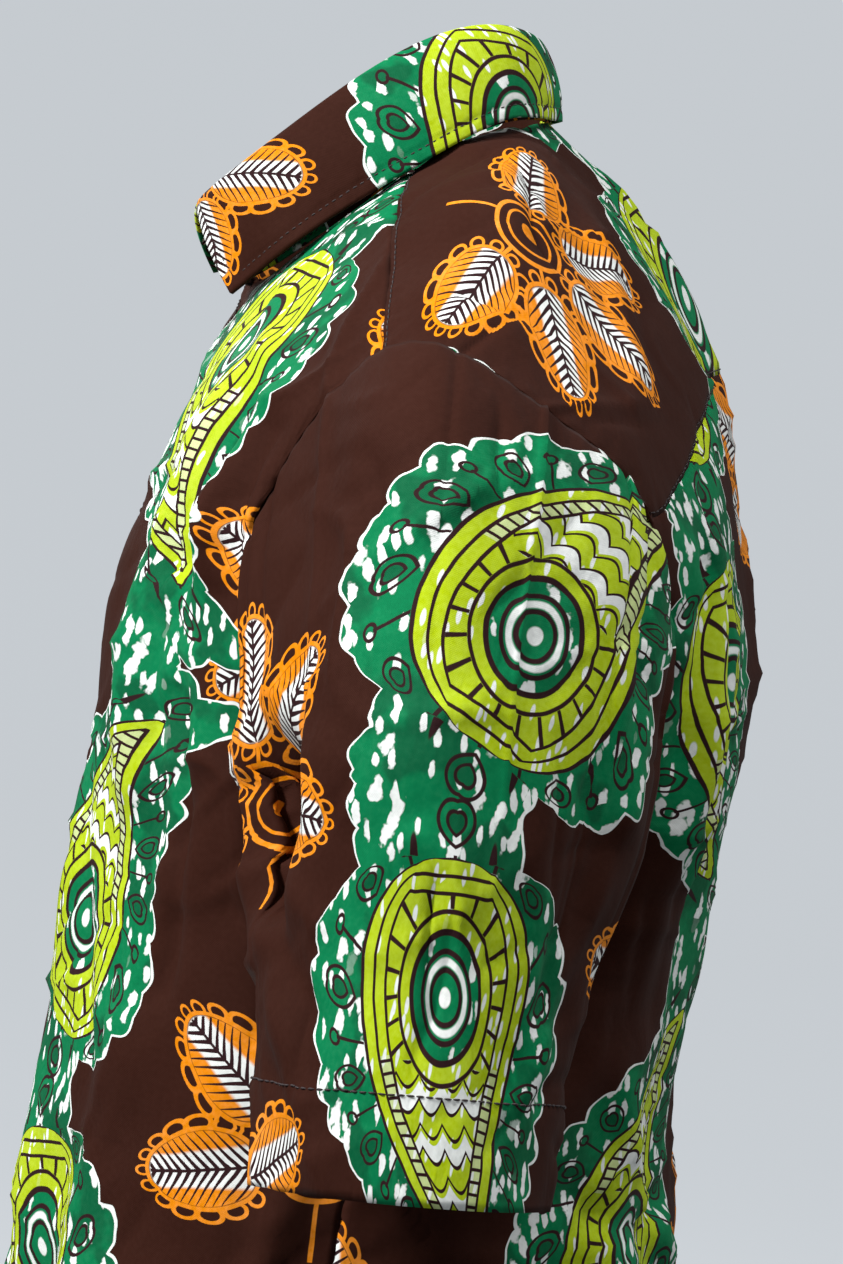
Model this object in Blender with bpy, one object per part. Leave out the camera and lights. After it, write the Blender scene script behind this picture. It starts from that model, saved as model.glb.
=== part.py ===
"""Short-sleeved printed shirt in its worn shape, hollow and open at neck, cuffs and hem.

Frame: metres, +Z up, -Y is the shirt's front, +X the wearer's left. The origin is the middle of the
neck opening, level with the tops of the shoulders, where the wearer carries the shirt.

The body is one smooth form, cut into two fronts, a yoke and a back. A point on it has two numbers:
across, from 0 at the centre line or neckline to 1 at the side seam or armhole, and along, from the
front hem over the shoulder to the back hem. A sleeve runs from the armhole loop to the cuff circle.
"""

import math
from collections import namedtuple

import bmesh
import bpy
import numpy as np
from mathutils import Vector

# Cloth and seams
WALL = 0.0014
COLLAR_WALL = 0.0020
SEAM_GAP = 0.0004
# Share of the gap that each panel edge, the sleeve's start and the stand's foot keep off the seam line
EDGE_TRIM = 0.7
SLEEVE_TRIM = 2.0
STAND_TRIM = 2.0
CRISP_ANGLE = math.radians(50)

# Neckline: the seam between the body and the collar stand
NECK_HALF_WIDTH = 0.068
NECK_FRONT_Y, NECK_FRONT_Z = -0.063, -0.050
NECK_BACK_Y, NECK_BACK_Z = 0.053, 0.0345
NECK_SIDE_LIFT = 0.007
NECK_LIFT_SKEW = 1.5

# Top of the collar stand, where the collar leaf folds over
FOLD_HALF_WIDTH = 0.062
FOLD_FRONT_Y, FOLD_FRONT_Z = -0.086, -0.020
FOLD_BACK_Y, FOLD_BACK_Z = 0.045, 0.066
FOLD_SIDE_LIFT = 0.018
FOLD_LIFT_SKEW = 0.6
# The right point of the leaf stands off the chest
RIGHT_POINT_LIFT = np.array((0.004, -0.016, 0.010))
STAND_OVERLAP_TURN = 0.075
STAND_LAP = 0.0013
LEAF_FRONT_TURN = 0.035
RIGHT_POINT_FROM = 0.6
LEAF_ROLL_HEIGHT = 0.008
LEAF_ROLL_SHARE = 0.6
LEAF_REACH = 0.35
FOLD_CLEARANCE = 0.0012

# Front opening and buttons
PLACKET_HALF_WIDTH = 0.016
UNDERLAP_DEPTH = 0.0032
UNDERLAP_BLEND = 0.035
BUTTON_RADIUS = 0.0056
BUTTON_THICKNESS = 0.0024
BUTTON_RIM = 0.0009
BUTTON_SEGMENTS = 18
SLOPE_STEP = 0.004
FIRST_BUTTON_Z = -0.105
BUTTON_SPACING = 0.090
FRONT_BUTTONS = 6

# Cuff
CUFF_RADIUS = 0.053
CUFF_CENTRE = np.array((0.262, 0.050, -0.374))
CUFF_AXIS = np.array((0.16, 0.05, -0.97))

# How far the body's form is evened out
RELAX_ROUNDS = 10
RELAX_STEP = 0.5

# Mesh density
BODY_COLUMNS = 15
SLEEVE_ROWS = 12
COLLAR_COLUMNS = 36
STAND_ROWS = 3
LEAF_ROWS = 8

Profile = namedtuple("Profile", "name z y")
CENTRE_FRONT = (
    Profile("hem", -0.715, -0.098),
    Profile("hip", -0.580, -0.103),
    Profile("belly", -0.450, -0.108),
    Profile("ribs", -0.310, -0.1015),
    Profile("below_chest", -0.250, -0.1005),
    Profile("chest", -0.205, -0.1020),
    Profile("upper_chest", -0.145, -0.094),
    Profile("collar_bone", -0.090, -0.081),
    Profile("neck_pit", NECK_FRONT_Z, NECK_FRONT_Y),
)
CENTRE_BACK = (
    Profile("hem", -0.715, 0.187),
    Profile("seat", -0.530, 0.190),
    Profile("hip", -0.440, 0.176),
    Profile("waist", -0.370, 0.162),
    Profile("ribs", -0.275, 0.168),
    Profile("shoulder_blade", -0.180, 0.1735),
    Profile("upper_back", -0.099, 0.1520),
    Profile("yoke", -0.058, 0.139),
    Profile("collar_root", -0.006, 0.107),
    Profile("below_collar", 0.022, 0.079),
    Profile("nape", NECK_BACK_Z, NECK_BACK_Y),
)

Side = namedtuple("Side", "name z x y")
SIDE_SEAM = (
    Side("hem", -0.715, 0.216, 0.042),
    Side("hip", -0.580, 0.213, 0.038),
    Side("waist", -0.430, 0.203, 0.030),
    Side("ribs", -0.340, 0.204, 0.034),
    Side("underarm", -0.255, 0.209, 0.042),
)

# The armhole loop, from the underarm up the front, over the shoulder and down the back
ArmholePoint = namedtuple("ArmholePoint", "name x y z")
ARMHOLE = (
    ArmholePoint("underarm", 0.209, 0.042, -0.255),
    ArmholePoint("front_low", 0.190, -0.018, -0.222),
    ArmholePoint("front_middle", 0.184, -0.039, -0.158),
    ArmholePoint("front_high", 0.190, -0.029, -0.110),
    ArmholePoint("front_yoke", 0.204, -0.004, -0.073),
    ArmholePoint("shoulder", 0.215, 0.028, -0.0655),
    ArmholePoint("shoulder_back", 0.215, 0.067, -0.086),
    ArmholePoint("back_yoke", 0.203, 0.101, -0.111),
    ArmholePoint("back_middle", 0.194, 0.122, -0.160),
    ArmholePoint("back_low", 0.199, 0.098, -0.228),
)

# Where the lines across the body start and end. inner: 0 to 1 up the centre front, 1 to 2 round the
# neckline, 2 to 3 down the centre back. outer: 0 to 1 up the side seam, 1 to 2 round the armhole,
# 2 to 3 down the side seam. squareness is the power of the rounded corner between them, and arch the
# power with which the line drops on its way outwards.
Station = namedtuple("Station", "name rows inner outer squareness arch")
STATIONS = (
    Station("front_hem", 0, 0.00, 0.00, 2.4, 1.0),
    Station("front_underarm", 14, 0.68, 1.00, 2.3, 1.0),
    Station("neck_pit", 8, 1.00, 1.32, 2.1, 1.4),
    Station("front_yoke_seam", 6, 1.53, 1.435, 2.0, 1.5),
    Station("nape", 8, 2.00, 1.60, 2.0, 1.7),
    Station("back_yoke_seam", 3, 2.126, 1.655, 2.2, 2.0),
    Station("back_underarm", 7, 2.40, 2.00, 2.4, 1.2),
    Station("back_hem", 14, 3.00, 3.00, 2.4, 1.0),
)

# The way the sleeve leaves the armhole, round the loop. reach is a share of the way to the cuff.
SleeveStart = namedtuple("SleeveStart", "name turn x y z reach")
SLEEVE_STARTS = (
    SleeveStart("underarm", 0.00, 0.34, 0.00, -0.94, 0.70),
    SleeveStart("front_low", 0.12, 0.72, -0.20, -0.67, 0.70),
    SleeveStart("front", 0.25, 0.42, 0.00, -0.90, 0.95),
    SleeveStart("top", 0.50, 0.86, 0.00, -0.50, 0.95),
    SleeveStart("back", 0.75, 0.50, 0.20, -0.84, 0.95),
    SleeveStart("back_low", 0.88, 0.60, 0.14, -0.79, 0.70),
    SleeveStart("underarm_again", 1.00, 0.34, 0.00, -0.94, 0.70),
)

# The free edge of the collar leaf, from the nape to the point
LeafEdge = namedtuple("LeafEdge", "name share x y z")
LEAF_EDGE = (
    LeafEdge("nape", 0.00, 0.000, 0.0585, 0.0375),
    LeafEdge("back", 0.27, 0.0575, 0.0390, 0.0325),
    LeafEdge("side", 0.53, 0.0770, -0.0030, 0.0025),
    LeafEdge("front", 0.79, 0.0700, -0.0430, -0.0310),
    LeafEdge("point", 1.00, 0.0520, -0.0680, -0.0550),
)

# Soft ridges (height over 0) and troughs (under 0) that run between two points, on either side
Fold = namedtuple("Fold", "name x0 y0 z0 x1 y1 z1 height width left right")
FOLDS = (
    Fold("chest_fall", 0.062, -0.092, -0.085, 0.085, -0.105, -0.715, 0.0050, 0.024, 1.0, 0.9),
    Fold("front_shoulder_ridge", 0.130, -0.070, -0.085, 0.125, -0.080, -0.150, 0.0070, 0.016, 1.0, 0.8),
    Fold("front_shoulder_trough", 0.150, -0.060, -0.080, 0.150, -0.064, -0.165, -0.0080, 0.014, 1.0, 1.1),
    Fold("front_arm_ridge", 0.166, -0.057, -0.090, 0.165, -0.052, -0.165, 0.0060, 0.012, 1.0, 0.9),
    Fold("front_arm_trough", 0.178, -0.046, -0.105, 0.176, -0.044, -0.170, -0.0040, 0.011, 1.0, 0.8),
    Fold("chest_ridge", 0.118, -0.090, -0.165, 0.140, -0.082, -0.255, 0.0070, 0.018, 1.0, 0.7),
    Fold("chest_trough", 0.148, -0.076, -0.190, 0.165, -0.060, -0.330, -0.0080, 0.018, 1.0, 0.9),
    Fold("ribs_ridge", 0.165, -0.060, -0.280, 0.150, -0.075, -0.470, 0.0070, 0.020, 1.0, 0.8),
    Fold("front_hip_trough", 0.118, -0.095, -0.420, 0.122, -0.090, -0.715, -0.0060, 0.020, 1.0, 0.7),
    Fold("front_hem_ridge", 0.165, -0.060, -0.500, 0.172, -0.055, -0.715, 0.0065, 0.018, 0.9, 1.0),
    Fold("side_hem_trough", 0.207, 0.010, -0.480, 0.214, 0.010, -0.715, -0.0050, 0.020, 1.0, 0.9),
    Fold("blade_ridge", 0.160, 0.135, -0.130, 0.168, 0.140, -0.300, 0.0070, 0.015, 1.0, 0.9),
    Fold("back_arm_trough", 0.185, 0.120, -0.180, 0.183, 0.108, -0.330, -0.0070, 0.014, 1.0, 1.0),
    Fold("back_trough", 0.110, 0.168, -0.200, 0.100, 0.155, -0.440, -0.0055, 0.018, 1.0, 0.7),
    Fold("back_ridge", 0.145, 0.140, -0.330, 0.145, 0.145, -0.560, 0.0060, 0.018, 0.9, 1.1),
    Fold("back_hem_trough", 0.095, 0.180, -0.520, 0.090, 0.185, -0.715, -0.0055, 0.020, 1.0, 0.8),
    Fold("back_hem_ridge", 0.165, 0.140, -0.520, 0.175, 0.140, -0.715, 0.0060, 0.020, 0.8, 1.0),
    Fold("sleeve_cap_roll", 0.235, 0.070, -0.090, 0.240, 0.118, -0.135, 0.0050, 0.012, 1.0, 0.9),
    Fold("sleeve_back_ridge", 0.250, 0.114, -0.140, 0.256, 0.118, -0.225, 0.0075, 0.014, 1.0, 0.9),
    Fold("sleeve_back_trough", 0.266, 0.106, -0.160, 0.275, 0.100, -0.300, -0.0060, 0.013, 1.0, 0.8),
    Fold("sleeve_front_ridge", 0.236, -0.038, -0.140, 0.240, -0.034, -0.200, 0.0050, 0.013, 1.0, 0.9),
    Fold("sleeve_front_dent", 0.232, -0.024, -0.232, 0.240, -0.018, -0.256, -0.0120, 0.022, 1.0, 0.7),
    Fold("sleeve_front_trough", 0.262, -0.024, -0.130, 0.258, -0.016, -0.260, -0.0040, 0.013, 1.0, 0.9),
    Fold("sleeve_outer_crease", 0.285, 0.000, -0.120, 0.302, 0.020, -0.250, 0.0030, 0.008, 1.0, 0.8),
    Fold("sleeve_cuff_trough", 0.290, -0.006, -0.290, 0.296, -0.010, -0.380, -0.0030, 0.012, 1.0, 0.8),
    Fold("sleeve_inner_trough", 0.214, 0.020, -0.275, 0.222, 0.020, -0.375, -0.0040, 0.013, 1.0, 1.0),
)
FOLD_END_SOFTNESS = 0.22
FOLD_FREE_SHARE = 0.15
UNDERARM_LIFT = 0.30

# Colours of the cloth and buttons, as the materials show them
CLOTH_COLOUR = (0.060, 0.200, 0.075, 1.0)
CLOTH_ROUGHNESS = 0.82
BUTTON_COLOUR = (0.030, 0.014, 0.012, 1.0)
BUTTON_ROUGHNESS = 0.35


def clear_scene():
    for item in list(bpy.data.objects):
        bpy.data.objects.remove(item)


def smooth_through(knots, values, at):
    """Monotone cubic curve through the rows of a short table, so it never overshoots them."""
    knots = np.asarray(knots, float)
    values = np.asarray(values, float)
    steps = np.diff(knots)
    slopes = np.diff(values) / steps
    bends = np.zeros(len(knots))
    bends[0], bends[-1] = slopes[0], slopes[-1]
    same_way = slopes[:-1] * slopes[1:] > 0
    weight_a = 2 * steps[1:] + steps[:-1]
    weight_b = steps[1:] + 2 * steps[:-1]
    safe = np.where(same_way, slopes[:-1] * slopes[1:], 1.0)
    mean = (weight_a + weight_b) * safe / (weight_a * slopes[1:] + weight_b * slopes[:-1] + (~same_way))
    bends[1:-1] = np.where(same_way, mean, 0.0)
    at = np.clip(np.asarray(at, float), knots[0], knots[-1])
    cell = np.clip(np.searchsorted(knots, at, side="right") - 1, 0, len(steps) - 1)
    t = (at - knots[cell]) / steps[cell]
    return (
        (2 * t**3 - 3 * t**2 + 1) * values[cell]
        + (t**3 - 2 * t**2 + t) * steps[cell] * bends[cell]
        + (3 * t**2 - 2 * t**3) * values[cell + 1]
        + (t**3 - t**2) * steps[cell] * bends[cell + 1]
    )


def unit(vectors):
    return vectors / np.maximum(np.linalg.norm(vectors, axis=-1, keepdims=True), 1e-12)


def column(table, name):
    return [getattr(row, name) for row in table]


def tilted_ring(turn, half_width, front, back, lift, skew):
    """Ring round the neck: turn 0 is the front, 1 the nape, and below 0 it passes the front.

    Its sides rise by lift, with more of the rise behind the middle as skew grows.
    """
    angle = math.pi * np.asarray(turn, float)
    middle = (np.array(front) + np.array(back)) / 2
    half = (np.array(back) - np.array(front)) / 2
    x = half_width * np.sin(angle)
    y = middle[0] - half[0] * np.cos(angle)
    rise = lift * np.sin(angle) ** 2 * (1 - skew * np.cos(angle))
    z = middle[1] - half[1] * np.cos(angle) + rise
    return np.stack((x, y, z), axis=-1)


def neckline(turn):
    front, back = (NECK_FRONT_Y, NECK_FRONT_Z), (NECK_BACK_Y, NECK_BACK_Z)
    return tilted_ring(turn, NECK_HALF_WIDTH, front, back, NECK_SIDE_LIFT, NECK_LIFT_SKEW)


def collar_fold(turn):
    front, back = (FOLD_FRONT_Y, FOLD_FRONT_Z), (FOLD_BACK_Y, FOLD_BACK_Z)
    return tilted_ring(turn, FOLD_HALF_WIDTH, front, back, FOLD_SIDE_LIFT, FOLD_LIFT_SKEW)


def closed_loop(points, samples=60):
    """Dense points and their share of the length, on a smooth closed curve through the given ones."""
    points = np.asarray(points, float)
    t = np.linspace(0, 1, samples, endpoint=False)[:, None]
    stretches = []
    for i in range(len(points)):
        a, b, c, d = (points[(i + k) % len(points)] for k in (-1, 0, 1, 2))
        squared = a - 2.5 * b + 2 * c - d / 2
        cubed = 1.5 * (b - c) + (d - a) / 2
        stretches.append(b + t * (c - a) / 2 + t**2 * squared + t**3 * cubed)
    dense = np.concatenate(stretches + [points[:1]])
    length = np.concatenate(([0], np.cumsum(np.linalg.norm(np.diff(dense, axis=0), axis=1))))
    return dense, length / length[-1]


ARMHOLE_POINTS, ARMHOLE_SHARE = closed_loop([(p.x, p.y, p.z) for p in ARMHOLE])


def armhole(turn):
    """Point on the left armhole: turn 0 is the underarm, and it rises at the front."""
    return np.stack([np.interp(turn, ARMHOLE_SHARE, ARMHOLE_POINTS[:, k]) for k in range(3)], axis=-1)


def centre_line(table, share):
    """Point on the centre front or back, share 0 at the hem and 1 at the neck."""
    z = table[0].z + share * (table[-1].z - table[0].z)
    y = smooth_through(column(table, "z"), column(table, "y"), z)
    return np.stack((np.zeros_like(z), y, z), axis=-1)


def side_line(share):
    z = SIDE_SEAM[0].z + share * (SIDE_SEAM[-1].z - SIDE_SEAM[0].z)
    heights = column(SIDE_SEAM, "z")
    x = smooth_through(heights, column(SIDE_SEAM, "x"), z)
    y = smooth_through(heights, column(SIDE_SEAM, "y"), z)
    return np.stack((x, y, z), axis=-1)


def three_stretches(position, first, second, third):
    """Picks the edge curve for each position: 0 to 1, 1 to 2 or 2 to 3."""
    position = np.asarray(position, float)[..., None]
    share = position[..., 0]
    low = first(np.clip(share, 0, 1))
    middle = second(np.clip(share - 1, 0, 1))
    high = third(np.clip(3 - share, 0, 1))
    return np.where(position <= 1, low, np.where(position <= 2, middle, high))


def inner_edge(position):
    return three_stretches(
        position, lambda s: centre_line(CENTRE_FRONT, s), neckline, lambda s: centre_line(CENTRE_BACK, s)
    )


def outer_edge(position):
    return three_stretches(position, side_line, armhole, side_line)


def station_row(name):
    """The number of the row of points at a named station."""
    total = 0
    for station in STATIONS:
        total += station.rows
        if station.name == name:
            return total
    raise ValueError(name)


def body_form(across, row):
    """Point of the left half of the body. across 0 to 1 is centre to side, row counts from the front hem.

    Seen from above, each line from the inner to the outer edge is a quarter of a rounded rectangle,
    and its height falls with its way outwards.
    """
    across, row = np.broadcast_arrays(np.asarray(across, float), np.asarray(row, float))
    at = np.cumsum(column(STATIONS, "rows"))
    inner = inner_edge(smooth_through(at, column(STATIONS, "inner"), row))
    outer = outer_edge(np.interp(row, at, column(STATIONS, "outer")))
    power = 2 / smooth_through(at, column(STATIONS, "squareness"), row)
    angle = across * math.pi / 2
    out_share = np.sin(angle) ** power
    round_share = np.clip(np.cos(angle), 0, 1) ** power
    x = inner[..., 0] + (outer[..., 0] - inner[..., 0]) * out_share
    y = outer[..., 1] + (inner[..., 1] - outer[..., 1]) * round_share
    arch = smooth_through(at, column(STATIONS, "arch"), row)
    z = inner[..., 2] + (outer[..., 2] - inner[..., 2]) * out_share**arch
    return np.stack((x, y, z), axis=-1)


def sleeve_form(turn, share, start):
    """Point of the left sleeve: turn goes round from the underarm, share 0 to 1 from start to cuff.

    Each line down the sleeve is a cubic that leaves its start at the armhole in a set direction and
    meets the cuff circle along the cuff's axis.
    """
    leave, reach = sleeve_leaving(turn)
    axis = unit(CUFF_AXIS)
    outward = unit(np.array((1.0, 0.0, 0.0)) - axis * axis[0])
    forward = np.cross(outward, axis)
    forward *= -np.sign(forward[1])
    angle = math.pi * (1 - 2 * turn)[..., None]
    cuff = CUFF_CENTRE + CUFF_RADIUS * (outward * np.cos(angle) + forward * np.sin(angle))
    way = np.linalg.norm(cuff - start, axis=-1) * reach
    t = share[..., None, None]
    return (
        (2 * t**3 - 3 * t**2 + 1) * start
        + (t**3 - 2 * t**2 + t) * leave * way[..., None]
        + (3 * t**2 - 2 * t**3) * cuff
        + (t**3 - t**2) * axis * way[..., None]
    )


def sleeve_leaving(turn):
    """The unit direction in which the sleeve leaves the armhole, and its reach."""
    knots = column(SLEEVE_STARTS, "turn")
    leave = np.stack([smooth_through(knots, column(SLEEVE_STARTS, k), turn) for k in "xyz"], axis=-1)
    return unit(leave), smooth_through(knots, column(SLEEVE_STARTS, "reach"), turn)


def sleeve_start(edge, normals, leave):
    """Where the sleeve's wall starts, beside the body's armhole edge or over it where it turns back."""
    along = unit(np.gradient(edge, axis=0))
    beside = np.cross(along, normals)
    aside = np.clip(np.sum(leave * beside, axis=-1), 0, 1)
    over = np.clip(np.sum(leave * normals, axis=-1), 0, 1) + UNDERARM_LIFT
    length = np.hypot(aside, over)
    way = (beside * aside[..., None] + normals * over[..., None]) / length[..., None]
    return edge + way * (SEAM_GAP * SLEEVE_TRIM + WALL * over / length)[..., None]


def fold_heights(points, side):
    """How far each point moves out: a bell across each fold's line, fading at the line's two ends."""
    total = np.zeros(points.shape[:-1])
    for fold in FOLDS:
        start = np.array((fold.x0 * side, fold.y0, fold.z0))
        way = np.array((fold.x1 * side, fold.y1, fold.z1)) - start
        share = ((points - start) @ way) / (way @ way)
        nearest = start + np.clip(share, 0, 1)[..., None] * way
        distance = np.linalg.norm(points - nearest, axis=-1)
        fade = np.clip(np.minimum(share, 1 - share) / FOLD_END_SOFTNESS + 1, 0, 1)
        strength = fold.left if side > 0 else fold.right
        total += strength * fold.height * np.exp(-((distance / fold.width) ** 2)) * fade
    return total


def grid_normals(points, wrap=False):
    """Unit normals of a grid of points, by the differences between neighbours."""
    if wrap:
        padded = np.concatenate((points[:, -1:], points, points[:, :1]), axis=1)
        by_column = np.gradient(padded, axis=1)[:, 1:-1]
    else:
        by_column = np.gradient(points, axis=1)
    return unit(np.cross(by_column, np.gradient(points, axis=0)))


def body_normals(points):
    """Outward normals of the body's grid, the same on both sides of the side seam and centre lines."""
    normals = grid_normals(points)
    armpit = station_row("front_underarm")
    both = unit(normals[:armpit + 1, -1] + normals[::-1][:armpit + 1, -1])
    normals[:armpit + 1, -1] = both
    normals[::-1][:armpit + 1, -1] = both
    for rows in (slice(0, station_row("neck_pit") + 1), slice(station_row("nape"), None)):
        normals[rows, 0, 0] = 0
    return unit(normals)


def draw_in(points, top=True, bottom=True, last=True):
    """Moves the edges of a grid in by a share of the seam gap, so that neighbours don't touch."""
    edges = (
        (points[-1], points[-2], top),
        (points[0], points[1], bottom),
        (points[:, -1], points[:, -2], last),
    )
    for edge, beside, wanted in edges:
        if wanted:
            edge += unit(beside - edge) * SEAM_GAP * EDGE_TRIM


def relaxed(points):
    """Evens out a grid: each inner point moves towards the mean of its four neighbours, a few times."""
    points = points.copy()
    for _ in range(RELAX_ROUNDS):
        around = points[2:, 1:-1] + points[:-2, 1:-1] + points[1:-1, 2:] + points[1:-1, :-2]
        points[1:-1, 1:-1] += (around / 4 - points[1:-1, 1:-1]) * RELAX_STEP
    return points


def folded_body(side):
    """Points and normals of the left half of the body, front hem to back hem, with one side's folds."""
    rows = np.arange(station_row("back_hem") + 1)
    across = np.linspace(0, 1, BODY_COLUMNS + 1)
    base = relaxed(body_form(across[None, :], rows[:, None]))
    mirror = np.array((side, 1.0, 1.0))
    shape = base + body_normals(base) * fold_heights(base * mirror, side)[..., None]
    shape[:, 0, 0] = base[:, 0, 0]
    return shape, body_normals(shape)


def body_half(first, last, side, top=True, bottom=True):
    """Points and normals of one half of the body between two stations, ready for its wall."""
    shape, normals = folded_body(side)
    rows = slice(station_row(first), station_row(last) + 1)
    points = shape[rows].copy()
    draw_in(points, top, bottom)
    mirror = np.array((side, 1.0, 1.0))
    return points * mirror, normals[rows] * mirror


def cloth_sheet(grids):
    """Joins grids into one sheet: points, unit normals and cells. Points in one place become one.

    Each grid is (points, normals, whether it wraps round, test of which cells are cloth or None).
    """
    numbers, points, normals, cells = {}, [], [], []
    for grid, leans, wrap, is_cloth in grids:
        rows, columns = grid.shape[:2]
        for r in range(rows - 1):
            for c in range(columns if wrap else columns - 1):
                if is_cloth and not is_cloth(r, c):
                    continue
                cell = []
                for row, col in ((r, c), (r, c + 1), (r + 1, c + 1), (r + 1, c)):
                    col %= columns
                    key = tuple(np.round(grid[row, col], 6) + 0.0)
                    if key not in numbers:
                        numbers[key] = len(points)
                        points.append(grid[row, col])
                        normals.append(np.zeros(3))
                    normals[numbers[key]] = normals[numbers[key]] + leans[row, col]
                    cell.append(numbers[key])
                cells.append(cell)
    return np.array(points), unit(np.array(normals)), cells


def facing_out(cells, points, normals):
    """Turns over the cells whose corners run the wrong way round for the normals."""
    turned = []
    for cell in cells:
        a, b, c, d = points[cell]
        facing = np.cross(c - a, d - b) @ normals[cell].sum(axis=0)
        turned.append(cell if facing > 0 else cell[::-1])
    return turned


def cloth_object(name, grids, material, wall):
    """One solid from grids: the sheet moved out and in by half the wall, closed round its edges."""
    points, normals, cells = cloth_sheet(grids)
    cells = facing_out(cells, points, normals)
    count = len(points)
    edges = {(a, b) for cell in cells for a, b in zip(cell, cell[1:] + cell[:1])}
    faces = cells + [[i + count for i in reversed(cell)] for cell in cells]
    faces += [[b, a, a + count, b + count] for a, b in sorted(edges) if (b, a) not in edges]
    walls = np.concatenate((points + normals * wall / 2, points - normals * wall / 2))
    mesh = bpy.data.meshes.new(name)
    mesh.from_pydata(walls.tolist(), [], faces)
    mesh.materials.append(material)
    mesh.shade_smooth()
    mesh.set_sharp_from_angle(angle=CRISP_ANGLE)
    mesh.update()
    item = bpy.data.objects.new(name, mesh)
    bpy.context.scene.collection.objects.link(item)
    return item


def placket_strip(side):
    """The two columns of a front panel past the centre line, which follow the form of the other half."""
    other, _ = body_half("front_hem", "front_yoke_seam", -side, bottom=False)
    strip = np.zeros((len(other), 2, 3))
    for number, x in enumerate((PLACKET_HALF_WIDTH, PLACKET_HALF_WIDTH / 2)):
        for row, points in enumerate(other):
            out = np.abs(points[:, 0])
            strip[row, number] = [-side * x] + [np.interp(x, out, points[:, k]) for k in (1, 2)]
    return strip


def make_front(name, side, material):
    """A front panel from hem to yoke seam, with its placket past the centre line."""
    half, normals = body_half("front_hem", "front_yoke_seam", side, bottom=False)
    pit = station_row("neck_pit")
    points = np.concatenate((placket_strip(side), half), axis=1)
    normals = np.concatenate((normals[:, :1], normals[:, :1], normals), axis=1)
    if side < 0:
        blend = (UNDERLAP_BLEND - np.abs(points[..., 0])) / (UNDERLAP_BLEND - PLACKET_HALF_WIDTH)
        blend = np.clip(blend, 0, 1)
        blend[:, :2] = 1
        points[..., 1] += UNDERLAP_DEPTH * blend * blend * (3 - 2 * blend)
    return cloth_object(name, [(points, normals, False, lambda r, c: c >= 2 or r < pit)], material, WALL)


def make_back(material):
    (right, right_normals), (left, left_normals) = (
        body_half("back_yoke_seam", "back_hem", side, top=False) for side in (-1, 1)
    )
    points = np.concatenate((right[:, :0:-1], left), axis=1)
    normals = np.concatenate((right_normals[:, :0:-1], left_normals), axis=1)
    return cloth_object("back", [(points, normals, False, None)], material, WALL)


def make_yoke(material):
    """Both halves of the yoke, joined down the centre back from the nape to the yoke seam."""
    grids = []
    behind = station_row("nape") - station_row("front_yoke_seam")
    for side in (1, -1):
        points, normals = body_half("front_yoke_seam", "back_yoke_seam", side)
        points[behind:, 0, 0] = 0.0
        grids.append((points, normals, False, None))
    return cloth_object("yoke", grids, material, WALL)


def make_sleeve(name, side, material):
    shape, body_lean = folded_body(side)
    first, last = station_row("front_underarm"), station_row("back_underarm")
    rows = np.arange(first, last + 1)
    turn = np.interp(rows, np.cumsum(column(STATIONS, "rows")), column(STATIONS, "outer")) - 1
    leave, _ = sleeve_leaving(turn)
    start = sleeve_start(shape[rows, -1], body_lean[rows, -1], leave)
    start[-1] = start[0] = (start[0] + start[-1]) / 2
    share = np.linspace(0, 1, SLEEVE_ROWS + 1)
    base = sleeve_form(turn, share, start)[:, :-1]
    mirror = np.array((side, 1.0, 1.0))
    away_from_seam = np.clip(share / FOLD_FREE_SHARE, 0, 1)[:, None]
    height = fold_heights(base * mirror, side) * away_from_seam
    points = base - grid_normals(base, wrap=True) * height[..., None]
    normals = -grid_normals(points, wrap=True)
    return cloth_object(name, [(points * mirror, normals * mirror, True, None)], material, WALL)


def collar_turns(front_turn):
    """Turns from the right front, round the nape, to the left front, and the side of each."""
    share = np.linspace(-1, 1, COLLAR_COLUMNS + 1)
    return 1 - np.abs(share) * (1 - front_turn), np.where(share < 0, -1.0, 1.0), np.abs(share)


def make_stand(material):
    """The band that stands up from the neckline. Its left end laps over its right end."""
    turn, side, _ = collar_turns(-STAND_OVERLAP_TURN)
    low, high = neckline(turn), collar_fold(turn)
    low = low + unit(high - low) * (WALL / 2 + SEAM_GAP * STAND_TRIM)
    lap = np.clip(1 - turn / (3 * STAND_OVERLAP_TURN), 0, 1)[:, None] * side[:, None] * STAND_LAP
    rows = np.linspace(0, 1, STAND_ROWS + 1)[:, None, None]
    points = low + (high - low) * rows
    points = points + lap * np.array((0.0, -1.0, 0.0))
    points[..., 0] *= side
    grid = (points, grid_normals(points), False, None)
    return cloth_object("collar_stand", [grid], material, COLLAR_WALL)


def leaf_form(share, drop, side):
    """Point of the collar leaf, share 0 at the nape to 1 at the front, drop 0 to 1, side 1 or -1.

    Down each line the leaf is a cubic that leaves the top of the stand upwards and rolls over outwards.
    """
    share, drop, side = np.broadcast_arrays(np.asarray(share, float), np.asarray(drop, float), side)
    turn = 1 - share * (1 - LEAF_FRONT_TURN)
    low, high = neckline(turn), collar_fold(turn)
    rise = unit(high - low)
    knots = column(LEAF_EDGE, "share")
    edge = np.stack([smooth_through(knots, column(LEAF_EDGE, k), share) for k in "xyz"], axis=-1)
    to_point = np.clip(share - RIGHT_POINT_FROM, 0, 1) / (1 - RIGHT_POINT_FROM) * (side < 0)
    edge = edge + RIGHT_POINT_LIFT * to_point[..., None] ** 2
    start = high + rise * FOLD_CLEARANCE
    middle = np.array((0.0, (FOLD_FRONT_Y + FOLD_BACK_Y) / 2, 0.0))
    outward = unit((high - middle) * np.array((1.0, 1.0, 0.0)))
    first = start + rise * LEAF_ROLL_HEIGHT
    second = start + (outward + rise * LEAF_ROLL_SHARE) * LEAF_ROLL_HEIGHT + (edge - start) * LEAF_REACH
    t = drop[..., None]
    left = 1 - t
    return left**3 * start + 3 * t * left**2 * first + 3 * t**2 * left * second + t**3 * edge


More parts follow.
